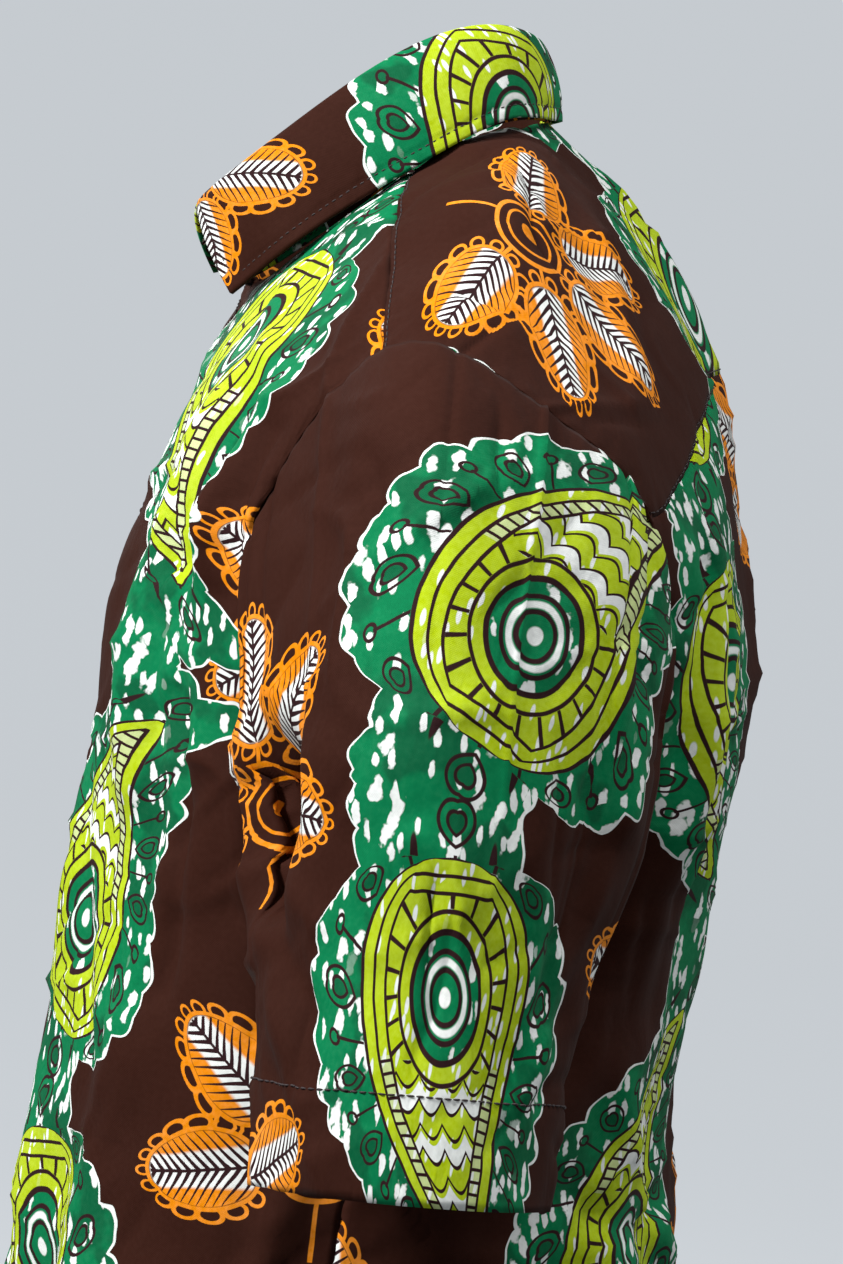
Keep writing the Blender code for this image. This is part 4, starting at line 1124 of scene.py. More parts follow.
def repeats(across, along):
    """Places within the print's repeat: a medallion's own, turned, and a leaf spray's.

    Columns of medallions and of sprays take turns. Down a column each motif is the mirror of the
    one above it, and every other pair of columns is dropped and mirrored.
    """
    number = (across / PRINT_REPEAT).nearest_whole()
    odd = abs((number * 0.5).wrapped(0.5)) * 2.0
    x = (across - number * PRINT_REPEAT) * (1.0 - odd * 2.0)
    dropped = along - odd * PRINT_DROP
    y = abs(dropped.wrapped(PRINT_STEP)) - PRINT_STEP / 2
    turned_x = x * math.cos(MEDALLION_TURN) - y * math.sin(MEDALLION_TURN)
    turned_y = x * math.sin(MEDALLION_TURN) + y * math.cos(MEDALLION_TURN)
    spray_x = (across - PRINT_REPEAT / 2).wrapped(PRINT_REPEAT / 2)
    spray_y = abs((along + PRINT_DROP).wrapped(PRINT_STEP)) - PRINT_STEP / 2
    return turned_x, turned_y, x, y, spray_x, spray_y


def medallion_fields(x, y):
    """Distance out from a bent drop shape, the place across its bent axis, and the way round it."""
    share = y / MEDALLION_HALF_LENGTH
    tail = share.most(0.0)
    bent = x - tail * tail * MEDALLION_BEND
    width = (1.0 - share * share).most(0.0).root() * (0.62 - share * 0.38) * MEDALLION_FULLNESS
    out = (abs(bent) - width).most((abs(share) - 1.0) * MEDALLION_HALF_LENGTH)
    return out, bent, direction_of(bent, y)


def make_print_group():
    """The whole print as one colour, from the place on the cloth and its dyes."""
    dyes = ("Ground", "Green", "Deep Green", "Chartreuse", "Orange", "White", "Line")
    tree, start, end = new_group(
        "wax_print",
        [("Place", "NodeSocketVector", None)] + [(dye, "NodeSocketColor", None) for dye in dyes],
        [("Colour", "NodeSocketColor"), ("Dye", "NodeSocketFloat")],
    )
    place = start.outputs["Place"]
    dye = {name: start.outputs[name] for name in dyes}
    parts = tree.nodes.new("ShaderNodeSeparateXYZ")
    put(tree, parts.inputs[0], place)
    wander = noise_field(tree, place, 38.0)
    u = Field(tree, parts.outputs[0]) + (wander - 0.5) * PRINT_WANDER
    v = Field(tree, parts.outputs[1]) + (noise_field(tree, place, 31.0) - 0.5) * PRINT_WANDER
    x, y, column_x, column_y, spray_x, spray_y = repeats(u, v)
    out, bent, way_round = medallion_fields(x, y)
    drop_out, drop_chance = drops_field(tree, u + v * 0.12, v, *DROP_CELL)
    speck_out, speck_chance = drops_field(tree, u, v, *SPECK_CELL)
    tear_out, tear_chance = drops_field(tree, u - v * 0.2, v + 0.3, *TEAR_CELL)

    # Clouds round the medallions, linked down each column, with undyed drops and tears
    scallops = abs((way_round * CLOUD_SCALLOPS).sine()) * CLOUD_SCALLOP
    cloud_edge = scallops + CLOUD_DEPTH + (wander - 0.5) * CLOUD_WANDER
    sway = (column_y * (math.pi / PRINT_STEP)).sine() * CLOUD_SWAY
    link_scallops = abs((column_y * (math.pi / LINK_SCALLOP_STEP)).sine()) * CLOUD_SCALLOP
    link = abs(column_x - sway) - link_scallops - CLOUD_LINK - (wander - 0.5) * LINK_WANDER
    from_cloud = (out - cloud_edge).least(link)
    cloud = from_cloud.below(0.0)
    rim = (from_cloud + RIM_LINE).line(RIM_LINE)
    green_depth = noise_field(tree, place, 26.0, 3.0).above(0.54, 0.03)
    uneven = noise_field(tree, place, 240.0, 2.0)
    drops = (drop_out + (uneven - 0.5) * 0.55).below(drop_chance * 0.30 + 0.06, 0.05)
    tears = (tear_out + (uneven - 0.5) * 0.6).below(0.26, 0.05)
    white_drops = (drops * drop_chance.above(0.46, 0.01)).most(tears * tear_chance.above(0.64, 0.01))
    white_specks = speck_out.below(0.32, 0.06) * speck_chance.above(0.74, 0.01)

    # Lobes round a medallion, with veins that end in curls between them
    lobe_side = way_round.wrapped(math.pi / LOBES) * LOBE_REACH
    lobe_along = out - LOBE_OUT
    lobe_across = lobe_side / LOBE_HALF_WIDTH * (1.0 + lobe_along * LOBE_TAPER)
    lobe = length_of(lobe_across, (lobe_along - abs(lobe_side) * LOBE_NOTCH) / LOBE_HALF_LENGTH)
    lobe_line = (lobe - 1.0).line(0.10, 0.025)
    lobe_heart = (lobe - 0.50).line(0.09, 0.025)
    vein_side = (way_round + math.pi / LOBES).wrapped(math.pi / LOBES) * LOBE_REACH
    vein = vein_side.line(FINE_LINE) * out.above(0.001) * out.below(VEIN_END)
    curl = (length_of(vein_side, out - CURL_OUT) - CURL_RADIUS).line(0.00065)

    # The medallion's outline and its band with rungs
    body = out.below(0.0)
    outline = out.line(PRINT_LINE)
    inner_outline = (out + BAND_START).line(FINE_LINE)
    band_end = (out + BAND_END).line(FINE_LINE)
    in_band = out.below(-BAND_START) * out.above(-BAND_END)
    rungs = y.wrapped(RUNG_HALF_STEP).line(0.00058) * in_band * y.above(-BAND_START_Y)

    # Its eye, as shares of the eye's size, with rays below and waves above
    from_eye_y = y - EYE_PLACE
    eye = length_of(bent / EYE_HALF_WIDTH, from_eye_y / EYE_HALF_HEIGHT)
    eye_body = eye.below(1.0, 0.01)
    eye_rings = (eye - 1.0).line(0.055, 0.01)
    for share in (0.70, 0.42):
        eye_rings = eye_rings.most((eye - share).line(0.045, 0.01))
    eye_white = (eye - 0.55).line(0.06, 0.02).most(eye.below(0.16, 0.02))
    eye_ring = (eye - 1.32).line(0.04, 0.01)
    inside = out.below(-INSIDE_FROM) * eye.above(1.36, 0.01)
    wave = y - abs((bent * (math.pi / WAVE_LENGTH)).sine()) * WAVE_HEIGHT
    above_eye = y.above(-WAVES_FROM_Y)
    wave_lines = wave.wrapped(WAVE_HALF_STEP).line(0.00068) * inside * above_eye
    wave_white = wave.wrapped(2 * WAVE_HALF_STEP).above(0.0024) * inside * above_eye
    rays = direction_of(bent, from_eye_y).wrapped(math.pi / EYE_RAYS).line(0.028, 0.006)
    rays = rays * inside * y.below(-WAVES_FROM_Y)

    # A spray of five leaves round a ringed middle, with lace round each leaf
    ring_y = spray_y + SPRAY_LOW
    spray_radius = length_of(spray_x, ring_y)
    heading = direction_of(spray_x, ring_y)
    leaf_number = (heading / LEAF_TURN).nearest_whole().most(-2.0).least(2.0)
    own_heading = heading - leaf_number * LEAF_TURN
    leaf_x = spray_radius * own_heading.sine()
    leaf_y = spray_radius * own_heading.cosine() - LEAF_DISTANCE
    across_share = leaf_x / LEAF_HALF_WIDTH * (1.0 + leaf_y * LEAF_TAPER)
    along_share = leaf_y / LEAF_HALF_LENGTH
    leaf = length_of(across_share, along_share)
    to_metres = length_of(leaf_x, leaf_y) / leaf.most(0.05)
    leaf_out = (leaf - 1.0) * to_metres
    blade = leaf.below(0.96, 0.02)
    loop_side = direction_of(across_share, along_share).wrapped(math.pi / LEAF_LOOPS) * to_metres
    loop = length_of(loop_side, leaf_out - LOOP_OUT) - LOOP_RADIUS
    lace = loop.line(0.00072) * leaf_out.above(0.0)
    leaf_edge = (leaf_out - 0.0004).line(0.0009)
    chevron = (leaf_y - abs(leaf_x) * CHEVRON_SLOPE).wrapped(CHEVRON_HALF_STEP)
    toward_rib = (1.0 - abs(across_share)).most(0.0)
    chevron_dark = (abs(chevron) - toward_rib * 0.00105 - 0.00015).below(0.0)
    chevron_white = abs(across_share).below(0.46, 0.06)
    rib = leaf_x.line(0.0006) * blade
    stem = (spray_radius - STEM_RING).line(0.0011).most((spray_radius - 0.0110).line(FINE_LINE))
    tail = spray_x.line(STALK_LINE) * ring_y.below(-STEM_RING) * ring_y.above(-STEM_END)
    stem = stem.most(spray_radius.below(0.0040)).most(tail)
    stalk = leaf_x.line(STALK_LINE) * spray_radius.above(STEM_RING)
    stalk = stalk * spray_radius.below(LEAF_DISTANCE - 0.022)
    spray_orange = lace.most(leaf_edge).most(blade).most(stem).most(stalk) * (1.0 - cloud)

    on_cloud = cloud * (1.0 - body)
    cloud_lines = lobe_line.most(lobe_heart).most(vein).most(curl)
    colour = layered(
        tree,
        dye["Ground"],
        (spray_orange, dye["Orange"]),
        (blade * chevron_white * (1.0 - cloud), dye["White"]),
        (blade * chevron_dark.most(rib) * (1.0 - cloud), dye["Line"]),
        (cloud, dye["Green"]),
        (cloud * green_depth, dye["Deep Green"]),
        (on_cloud * white_drops, dye["White"]),
        (rim, dye["White"]),
        (on_cloud * lobe.below(0.5, 0.02), dye["Deep Green"]),
        (on_cloud * cloud_lines * from_cloud.below(-0.0022), dye["Line"]),
        (body, dye["Chartreuse"]),
        (wave_white.most(in_band * y.above(-BAND_START_Y) * 0.35), dye["White"]),
        (body * white_specks, dye["White"]),
        (eye_body * body, dye["Green"]),
        (eye_body * eye_white.most(white_drops * eye.above(0.75, 0.02)), dye["White"]),
        (outline.most(inner_outline * body).most(band_end * body).most(rungs), dye["Line"]),
        (wave_lines.most(rays).most(eye_rings.most(eye_ring) * body), dye["Line"]),
    )
    put(tree, end.inputs["Colour"], colour)
    put(tree, end.inputs["Dye"], cloud.most(spray_orange))
    return tree


def make_weave_group():
    """Plain weave: threads over and under, as a height, with the faint shade of uneven threads."""
    tree, start, end = new_group(
        "plain_weave",
        [("Place", "NodeSocketVector", None), ("Thread", "NodeSocketFloat", 0.00045)],
        [("Height", "NodeSocketFloat"), ("Shade", "NodeSocketFloat")],
    )
    parts = tree.nodes.new("ShaderNodeSeparateXYZ")
    put(tree, parts.inputs[0], start.outputs["Place"])
    thread = Field(tree, start.outputs["Thread"])
    across = Field(tree, parts.outputs[0]) / thread * math.pi
    along = Field(tree, parts.outputs[1]) / thread * math.pi
    over = (across.sine() * along.sine()) * 0.5 + 0.5
    slub = noise_field(tree, start.outputs["Place"], 420.0, 3.0)
    put(tree, end.inputs["Height"], over * 0.6 + slub * 0.8)
    put(tree, end.inputs["Shade"], slub * 0.7 + noise_field(tree, start.outputs["Place"], 22.0) * 0.6 - 0.65)
    return tree


HEM_DEPTH = 0.020
CUFF_HEM_DEPTH = 0.040
STITCH_FROM_EDGE = 0.0019
PLACKET_STITCH_IN = 0.0040
COLLAR_STITCH_IN = 0.0055
CLOTH_WALL = 0.0011
COLLAR_SHOWN_WALL = 0.0018
LEAF_EDGE_SINK = 0.0005
STITCH_STEP = 0.0034
STITCH_LENGTH = 0.0029
STITCH_RADIUS = 0.00032
CUFF_STITCH_RADIUS = 0.00042

# The button's profile in shares of its rings and radius, its holes, and its thread
FACE_SHARE = 0.72
UNDER_SHARE = 0.28
DISH_DEPTH, DISH_EDGE, DISH_SLOPE = 0.00045, 0.66, 26
RIM_FROM, RIM_SHARE = 0.86, 0.14
HOLE_OUT = 0.00115
HOLE_RADIUS, HOLE_EDGE, HOLE_DEPTH = 0.00062, 0.00009, 0.0012
BUTTON_GAP = 0.0003
BUTTON_THREAD_DIP = 0.0004
BUTTON_THREAD_SPACING = 0.01
BUTTON_THREAD_LENGTH = 0.0026
BUTTON_THREAD_RADIUS = 0.00028


def length_setting(name, description, default):
    return bpy.props.FloatProperty(name=name, description=description, default=default, unit="LENGTH")


def colour_setting(name, description, default):
    return bpy.props.FloatVectorProperty(name=name, description=description, default=default, subtype="COLOR")


class Threads(bpy.types.PropertyGroup):
    """Sizes of the cloth's edges and stitches."""

    cloth_wall: length_setting("Cloth thickness", "Thickness of the shown cotton", CLOTH_WALL)
    collar_wall: length_setting("Collar thickness", "Thickness of the lined collar", COLLAR_SHOWN_WALL)
    hem_depth: length_setting("Hem depth", "Depth of the bottom hem", HEM_DEPTH)
    cuff_hem_depth: length_setting("Sleeve hem depth", "Depth of the sleeves' hems", CUFF_HEM_DEPTH)
    stitch_step: length_setting("Stitch step", "Distance from one stitch to the next", STITCH_STEP)
    stitch_length: length_setting("Stitch length", "Length of thread that shows", STITCH_LENGTH)
    stitch_radius: length_setting("Thread radius", "Half the thickness of the thread", STITCH_RADIUS)


class Dyes(bpy.types.PropertyGroup):
    """Colours of the print, thread, buttons and backdrop."""

    ground: colour_setting("Ground", "Plain cloth between the motifs", (0.0262, 0.0070, 0.0038))
    green: colour_setting("Green", "Clouds round the medallions", (0.0012, 0.140, 0.050))
    deep_green: colour_setting("Deep green", "Darker dye in the clouds", (0.0016, 0.085, 0.032))
    chartreuse: colour_setting("Chartreuse", "Body of the medallions", (0.350, 0.455, 0.014))
    orange: colour_setting("Orange", "Leaves and lace", (0.630, 0.200, 0.010))
    white: colour_setting("White", "Undyed drops and ribs", (0.640, 0.660, 0.640))
    line: colour_setting("Line", "Drawn lines of the print", (0.0210, 0.0070, 0.0082))
    thread: colour_setting("Thread", "Sewing thread", (0.018, 0.0090, 0.0095))
    button: colour_setting("Button", "Buttons", (0.030, 0.014, 0.012))
    floor: colour_setting("Backdrop", "Floor and backdrop", (0.610, 0.645, 0.680))


def socket_value(node, name, value):
    node.inputs[name].default_value = value


def bumped(tree, height, strength, distance):
    """A Bump node on a height."""
    node = tree.nodes.new("ShaderNodeBump")
    socket_value(node, "Strength", strength)
    socket_value(node, "Distance", distance)
    put(tree, node.inputs["Height"], height)
    return node


def printed_cotton():
    """The printed cloth: the print's colours with uneven dye, plain weave, soft sheen and fine wrinkles."""
    if "shirt_printed_cotton" in bpy.data.materials:
        return bpy.data.materials["shirt_printed_cotton"]
    dyes = bpy.context.scene.shirt_dyes
    material = bpy.data.materials.new("shirt_printed_cotton")
    material.use_nodes = True
    tree = material.node_tree
    shader = tree.nodes["Principled BSDF"]
    place = tree.nodes.new("ShaderNodeUVMap")
    place.uv_map = "print"
    wax = tree.nodes.new("ShaderNodeGroup")
    wax.node_tree = make_print_group()
    put(tree, wax.inputs["Place"], place.outputs[0])
    for socket in wax.inputs[1:]:
        socket.default_value = (*getattr(dyes, socket.name.lower().replace(" ", "_")), 1.0)
    weave = tree.nodes.new("ShaderNodeGroup")
    weave.node_tree = make_weave_group()
    put(tree, weave.inputs["Place"], place.outputs[0])
    shade = Field(tree, weave.outputs["Shade"])
    tone = tree.nodes.new("ShaderNodeHueSaturation")
    put(tree, tone.inputs["Value"], shade * 0.55 + 1.0)
    put(tree, tone.inputs["Saturation"], 1.0 - shade * 0.16)
    put(tree, tone.inputs["Color"], wax.outputs["Colour"])
    put(tree, shader.inputs["Base Color"], tone.outputs[0])
    dye = Field(tree, wax.outputs["Dye"])
    put(tree, shader.inputs["Roughness"], 0.80 - dye * 0.05 + shade * 0.10)
    fine = bumped(tree, weave.outputs["Height"], 0.45, 0.00020)
    soft = bumped(tree, wrinkle_field(tree, place.outputs[0]), 0.75, 0.0020)
    put(tree, fine.inputs["Normal"], soft.outputs[0])
    put(tree, shader.inputs["Normal"], fine.outputs[0])
    socket_value(shader, "Specular IOR Level", 0.06)
    socket_value(shader, "Sheen Weight", 0.012)
    socket_value(shader, "Sheen Roughness", 0.45)
    return material


def wrinkle_field(tree, place):
    """Small soft wrinkles of washed cotton: two noises, one of them stretched and bent by the other."""
    broad = noise_field(tree, place, 30.0, 1.5)
    stretched = tree.nodes.new("ShaderNodeMapping")
    stretched.inputs["Rotation"].default_value = (0.0, 0.0, 0.5)
    stretched.inputs["Scale"].default_value = (95.0, 34.0, 1.0)
    put(tree, stretched.inputs["Vector"], place)
    bent = tree.nodes.new("ShaderNodeVectorMath")
    put(tree, bent.inputs[0], stretched.outputs[0])
    put(tree, bent.inputs[1], (broad * 2.2).socket)
    fine = noise_field(tree, bent.outputs[0], 1.0, 2.0)
    return broad * 0.7 + fine * 0.5


def plain_shirt_material(name, colour, roughness, bump_scale, bump_height, coat=0.0):
    """One colour with slight unevenness in tone, roughness and surface, on Object coordinates."""
    if name in bpy.data.materials:
        return bpy.data.materials[name]
    material = bpy.data.materials.new(name)
    material.use_nodes = True
    tree = material.node_tree
    shader = tree.nodes["Principled BSDF"]
    place = tree.nodes.new("ShaderNodeTexCoord").outputs["Object"]
    uneven = noise_field(tree, place, bump_scale, 3.0)
    tone = tree.nodes.new("ShaderNodeHueSaturation")
    socket_value(tone, "Color", (*colour, 1.0))
    put(tree, tone.inputs["Value"], uneven * 0.5 + 0.75)
    put(tree, shader.inputs["Base Color"], tone.outputs[0])
    put(tree, shader.inputs["Roughness"], uneven * 0.12 + (roughness - 0.06))
    put(tree, shader.inputs["Normal"], bumped(tree, uneven, 0.4, bump_height).outputs[0])
    socket_value(shader, "Coat Weight", coat)
    return material


def thread_material():
    return plain_shirt_material("shirt_thread", bpy.context.scene.shirt_dyes.thread, 0.70, 2600.0, 0.0001)


def button_material():
    colour = bpy.context.scene.shirt_dyes.button
    return plain_shirt_material("shirt_button", colour, 0.34, 240.0, 0.0001, 0.25)


def panel(side, first, last):
    """One half of a body panel between two stations: points, normals and coarse points for its cut."""
    shape, normals, base = fine_halves()[side]
    rows = slice(fine_row(first), fine_row(last) + 1)
    return shape[rows].copy(), normals[rows], base[station_row(first):station_row(last) + 1]


def sewn(points, normals, top=True, bottom=True, hem=None):
    """Sinks and ripples a panel at its seams. top and bottom say which of its row edges are seams.

    The last column is the side seam or armhole. hem is (at the first row or not, depth).
    """
    across, down = arc_lengths(points, 1), arc_lengths(points, 0)
    from_last = down[-1:] - down
    height = seam_height(across[:, -1:] - across, down)
    if top:
        height = height + seam_height(from_last, across)
    if bottom:
        height = height + seam_height(down, across)
    if hem:
        at_first, depth = hem
        height = height + hem_height(down if at_first else from_last, depth, across)
    return points + normals * height[..., None]


def front_grid(name, side):
    """A front panel with its button edge past the centre line, which follows the other half's form."""
    points, normals, coarse = panel(side, "front_hem", "front_yoke_seam")
    other = panel(-side, "front_hem", "front_yoke_seam")[0]
    steps = PLACKET_COLUMNS
    reach = np.linspace(PLACKET_HALF_WIDTH, 0, steps, endpoint=False)
    strip = np.zeros((len(other), steps, 3))
    strip[..., 0] = -side * reach
    for row, line in enumerate(other):
        for axis in (1, 2):
            strip[row, :, axis] = np.interp(reach, np.abs(line[:, 0]), line[:, axis])
    pit = fine_row("neck_pit")
    strip[pit:] = points[pit:, :1]
    hem = (True, bpy.context.scene.shirt_threads.hem_depth)
    points = np.concatenate((strip, sewn(points, normals, bottom=False, hem=hem)), axis=1)
    normals = np.concatenate((np.repeat(normals[:, :1], steps, axis=1), normals), axis=1)
    flat = finer(flattened(coarse))
    cells_out = (reach / np.abs(flat[0, 1, 0] - flat[0, 0, 0]))[None, :, None]
    flat = np.concatenate((flat[:, :1] + (flat[:, :1] - flat[:, 1:2]) * cells_out, flat), axis=1)
    flat[..., 0] *= side
    if side < 0:
        lower = (UNDERLAP_BLEND - np.abs(points[..., 0])) / (UNDERLAP_BLEND - PLACKET_HALF_WIDTH)
        lower = np.clip(lower, 0, 1)
        lower[:, :steps] = 1
        points[..., 1] += UNDERLAP_DEPTH * lower * lower * (3 - 2 * lower)
    else:
        edge = np.abs(points[..., 0] * side + PLACKET_HALF_WIDTH)
        stitched = points[..., 0] * side - (PLACKET_HALF_WIDTH - PLACKET_STITCH_IN)
        raised = PLACKET_RELIEF * np.exp(-((edge / PLACKET_EDGE_WIDTH) ** 2))
        points[..., 1] -= raised - PLACKET_RELIEF * np.exp(-((stitched / STITCH_SINK_WIDTH) ** 2))
    is_cloth = np.ones((points.shape[0] - 1, points.shape[1] - 1), bool)
    is_cloth[pit:, :steps] = False
    return points, normals, on_print(name, flat), is_cloth


def back_grid():
    """Both halves of the back as one grid, from the right side seam to the left one."""
    hem = (False, bpy.context.scene.shirt_threads.hem_depth)
    halves = []
    for side in (-1, 1):
        points, normals, coarse = panel(side, "back_yoke_seam", "back_hem")
        flip = np.array((float(side), 1.0, 1.0))
        halves.append((sewn(points, normals, top=False, hem=hem), normals, coarse * flip))
    points, normals, coarse = (
        np.concatenate((right[:, :0:-1], left), axis=1) for right, left in zip(*halves)
    )
    return points, normals, on_print("back", finer(flattened(coarse)) * np.array((-1.0, -1.0))), None


def yoke_grids():
    """Both halves of the yoke, which meet down the centre back from the nape to the yoke's seam."""
    behind = fine_row("nape") - fine_row("front_yoke_seam")
    grids = []
    for side in (1, -1):
        points, normals, _ = panel(side, "front_yoke_seam", "back_yoke_seam")
        points = sewn(points, normals)
        points[behind:, 0, 0] = 0.0
        grids.append((points, normals, on_print("yoke", yoke_flat(points), np.zeros(2)), None))
    return grids


def sleeve_grid(name, side):
    """A sleeve from the body's armhole edge to the cuff circle, with folds, creases and its hem."""
    flip = np.array((side, 1.0, 1.0))
    shape, body_lean, _ = fine_halves()[side]
    rows = np.arange(fine_row("front_underarm"), fine_row("back_underarm") + 1)
    knots = np.cumsum(column(STATIONS, "rows")) * FINER_ROWS
    turn = np.interp(rows, knots, column(STATIONS, "outer")) - 1
    leave, _ = sleeve_leaving(turn)
    start = sleeve_start(shape[rows, -1] * flip, body_lean[rows, -1] * flip, leave)
    start[-1] = start[0] = (start[0] + start[-1]) / 2
    share = np.linspace(0, 1, FINE_SLEEVE_ROWS + 1)
    base = sleeve_form(turn, share, start)[:, :-1]
    height = worn_heights(base * flip, side) * np.clip(share / FOLD_FREE_SHARE, 0, 1)[:, None]
    points = base - grid_normals(base, wrap=True) * height[..., None]
    down = arc_lengths(points, 0)
    around = arc_lengths(np.concatenate((points, points[:, :1]), axis=1), 1)[:, :-1]
    depth = bpy.context.scene.shirt_threads.cuff_hem_depth
    height = seam_height(down, around) + hem_height(down[-1:] - down, depth, around)
    points = points - grid_normals(points, wrap=True) * height[..., None]
    normals = -grid_normals(points, wrap=True)
    points, normals = (np.concatenate((a, a[:, :1]), axis=1) * flip for a in (points, normals))
    coarse = points[::FINE_SLEEVE_TURN, ::FINE_SLEEVE_TURN] * flip
    flat = finer(flattened(coarse), FINE_SLEEVE_TURN, FINE_SLEEVE_TURN) * np.array((side, -1.0))
    return points, normals, on_print(name, flat), None


def stand_grid():
    """The band that stands up from the neckline, its left end over its right."""
    share = np.linspace(-1, 1, COLLAR_COLUMNS * FINE_COLLAR + 1)
    side = np.where(share < 0, -1.0, 1.0)
    turn = 1 - np.abs(share) * (1 + STAND_OVERLAP_TURN)
    low, high = neckline(turn), collar_fold(turn)
    low = low + unit(high - low) * (WALL / 2 + SEAM_GAP * STAND_TRIM)
    lap = np.clip(1 - turn / (3 * STAND_OVERLAP_TURN), 0, 1)[:, None] * side[:, None] * STAND_LAP
    rows = np.linspace(0, 1, STAND_ROWS * FINE_COLLAR + 1)[:, None, None]
    points = low + (high - low) * rows + lap * np.array((0.0, -1.0, 0.0))
    points[..., 0] *= side
    normals = grid_normals(points)
    normals = normals * np.sign(np.sum(normals * (points - COLLAR_MIDDLE) * np.array((1, 1, 0))))
    flat = np.stack((arc_lengths(points, 1), arc_lengths(points, 0)), axis=-1)
    return points, normals, on_print("collar_stand", flat), None


def leaf_grid():
    """The folded collar leaf, sunk along the stitches that run inside its free edge."""
    share = np.linspace(-1, 1, COLLAR_COLUMNS * FINE_COLLAR + 1)
    side = np.where(share < 0, -1.0, 1.0)
    drop = np.linspace(0, 1, LEAF_ROWS * FINE_COLLAR + 1)
    points = leaf_form(np.abs(share)[None, :], drop[:, None], side[None, :])
    points[..., 0] *= side
    normals = grid_normals(points)
    half = len(drop) // 2
    normals = normals * np.sign(np.sum(normals[half] * (points[half] - LEAF_MIDDLE)))
    down, across = arc_lengths(points, 0), arc_lengths(points, 1)
    from_edge = np.minimum(down[-1:] - down, np.minimum(across, across[:, -1:] - across))
    from_stitches = from_edge - COLLAR_STITCH_IN
    sink = LEAF_EDGE_SINK * np.exp(-((from_stitches / STITCH_SINK_WIDTH) ** 2))
    ripple = 0.6 * PUCKER_HEIGHT * np.sin(2 * math.pi * across / PUCKER_LENGTH)
    ripple = ripple * np.exp(-np.abs(from_stitches) / 0.004) * np.clip(drop * 4 - 1, 0, 1)[:, None]
    soft = LEAF_SOFT_HEIGHT * np.sin(across / 0.021 + 3 * down / 0.05) * np.clip(drop * 2, 0, 1)[:, None]
    points = points + normals * (soft + ripple - sink)[..., None]
    flat = np.stack((across - across[:, -1:] / 2, down), axis=-1)
    return points, normals, on_print("collar_leaf", flat), None


def threads_on(line, leans, radius=None):
    """Stitches along a line on the cloth, lying on its outer face."""
    sizes = bpy.context.scene.shirt_threads
    radius = sizes.stitch_radius if radius is None else radius
    face = line + leans * (sizes.cloth_wall / 2 + radius * 0.2)
    return stitch_points(face, leans, sizes.stitch_step, sizes.stitch_length, radius)


def hem_threads(points, normals, from_end):
    """The stitches of the bottom hem, just below the hem's turned edge."""
    depth = bpy.context.scene.shirt_threads.hem_depth
    return threads_on(*line_beside(points, normals, depth - HEM_STEP_WIDTH, from_end))


def button_points(segments=48, rings=22):
    """A round button's face and edge: rings whose height follows a dished profile with four holes.

    From the middle of the face the rings run out over a raised rim, round the edge and in underneath.
    """
    share = np.linspace(0, 1, rings + 1)[:, None]
    turn = (np.arange(segments) / segments * 2 * math.pi)[None, :]
    over = np.clip(share / FACE_SHARE, 0, 1)
    under = np.clip((share - FACE_SHARE) / UNDER_SHARE, 0, 1)
    inwards = np.where(under > 0, np.cos(under * math.pi / 2) ** 0.35, 1)
    radius = BUTTON_RADIUS * (np.sin(over * math.pi / 2) ** 0.9) * inwards
    out = radius / BUTTON_RADIUS
    dish = DISH_DEPTH / (1 + np.exp((out - DISH_EDGE) * DISH_SLOPE))
    rim = BUTTON_RIM * np.clip((out - RIM_FROM) / RIM_SHARE, 0, 1) ** 2
    edge = (BUTTON_THICKNESS - BUTTON_RIM) * (1 - under) ** 1.2
    height = np.where(under > 0, edge, BUTTON_THICKNESS - dish - rim)
    x, y = radius * np.cos(turn), radius * np.sin(turn)
    for hole_x, hole_y in ((1, 1), (1, -1), (-1, 1), (-1, -1)):
        away = np.hypot(x - hole_x * HOLE_OUT, y - hole_y * HOLE_OUT)
        hole = HOLE_DEPTH / (1 + np.exp((away - HOLE_RADIUS) / HOLE_EDGE))
        height = np.where(under > 0, height, height - hole)
    return np.stack((x, y, np.maximum(height, 0.0)), axis=-1)


# Flat size that each panel was cut to, across and along, and its area, in metres
FlatSize = namedtuple("FlatSize", "name across along area")


def shown(node, grids, rows, lined=False):
    """Puts a piece of cloth and its stitches in the frame, in place of their solid."""
    cloth, stitches = cloth_piece(node + "_cloth", grids, lined), stitching(node + "_stitches", rows)
    for item in (cloth, stitches):
        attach(item, "root")
    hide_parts(node)


class SHIRT_OT_fronts(bpy.types.Operator):
    """Builds the two front panels with their button edges and hems"""

    bl_idname = "shirt.fronts"
    bl_label = "Fronts"

    def execute(self, context):
        pit = fine_row("neck_pit")
        for name, side in (("front_left", 1), ("front_right", -1)):
            grid = front_grid(name, side)
            points, normals = grid[:2]
            rows = [hem_threads(points, normals, False)]
            if side > 0:
                for distance in (PLACKET_STITCH_IN, 2 * PLACKET_HALF_WIDTH - PLACKET_STITCH_IN):
                    line = line_beside(points[:pit + 1], normals[:pit + 1], distance, axis=1)
                    rows.append(threads_on(*line))
            shown(name, [grid], rows)
        return {"FINISHED"}


class SHIRT_OT_back(bpy.types.Operator):
    """Builds the back panel and its hem"""

    bl_idname = "shirt.back"
    bl_label = "Back"

    def execute(self, context):
        grid = back_grid()
        shown("back", [grid], [hem_threads(*grid[:2], True)])
        return {"FINISHED"}


class SHIRT_OT_yoke(bpy.types.Operator):
    """Builds the yoke with the stitches along its front and back seams"""

    bl_idname = "shirt.yoke"
    bl_label = "Yoke"

    def execute(self, context):
        grids = yoke_grids()
        rows = [
            threads_on(*line_beside(points, normals, STITCH_FROM_EDGE, from_end))
            for points, normals, _, _ in grids
            for from_end in (False, True)
        ]
        shown("yoke", grids, rows)
        return {"FINISHED"}


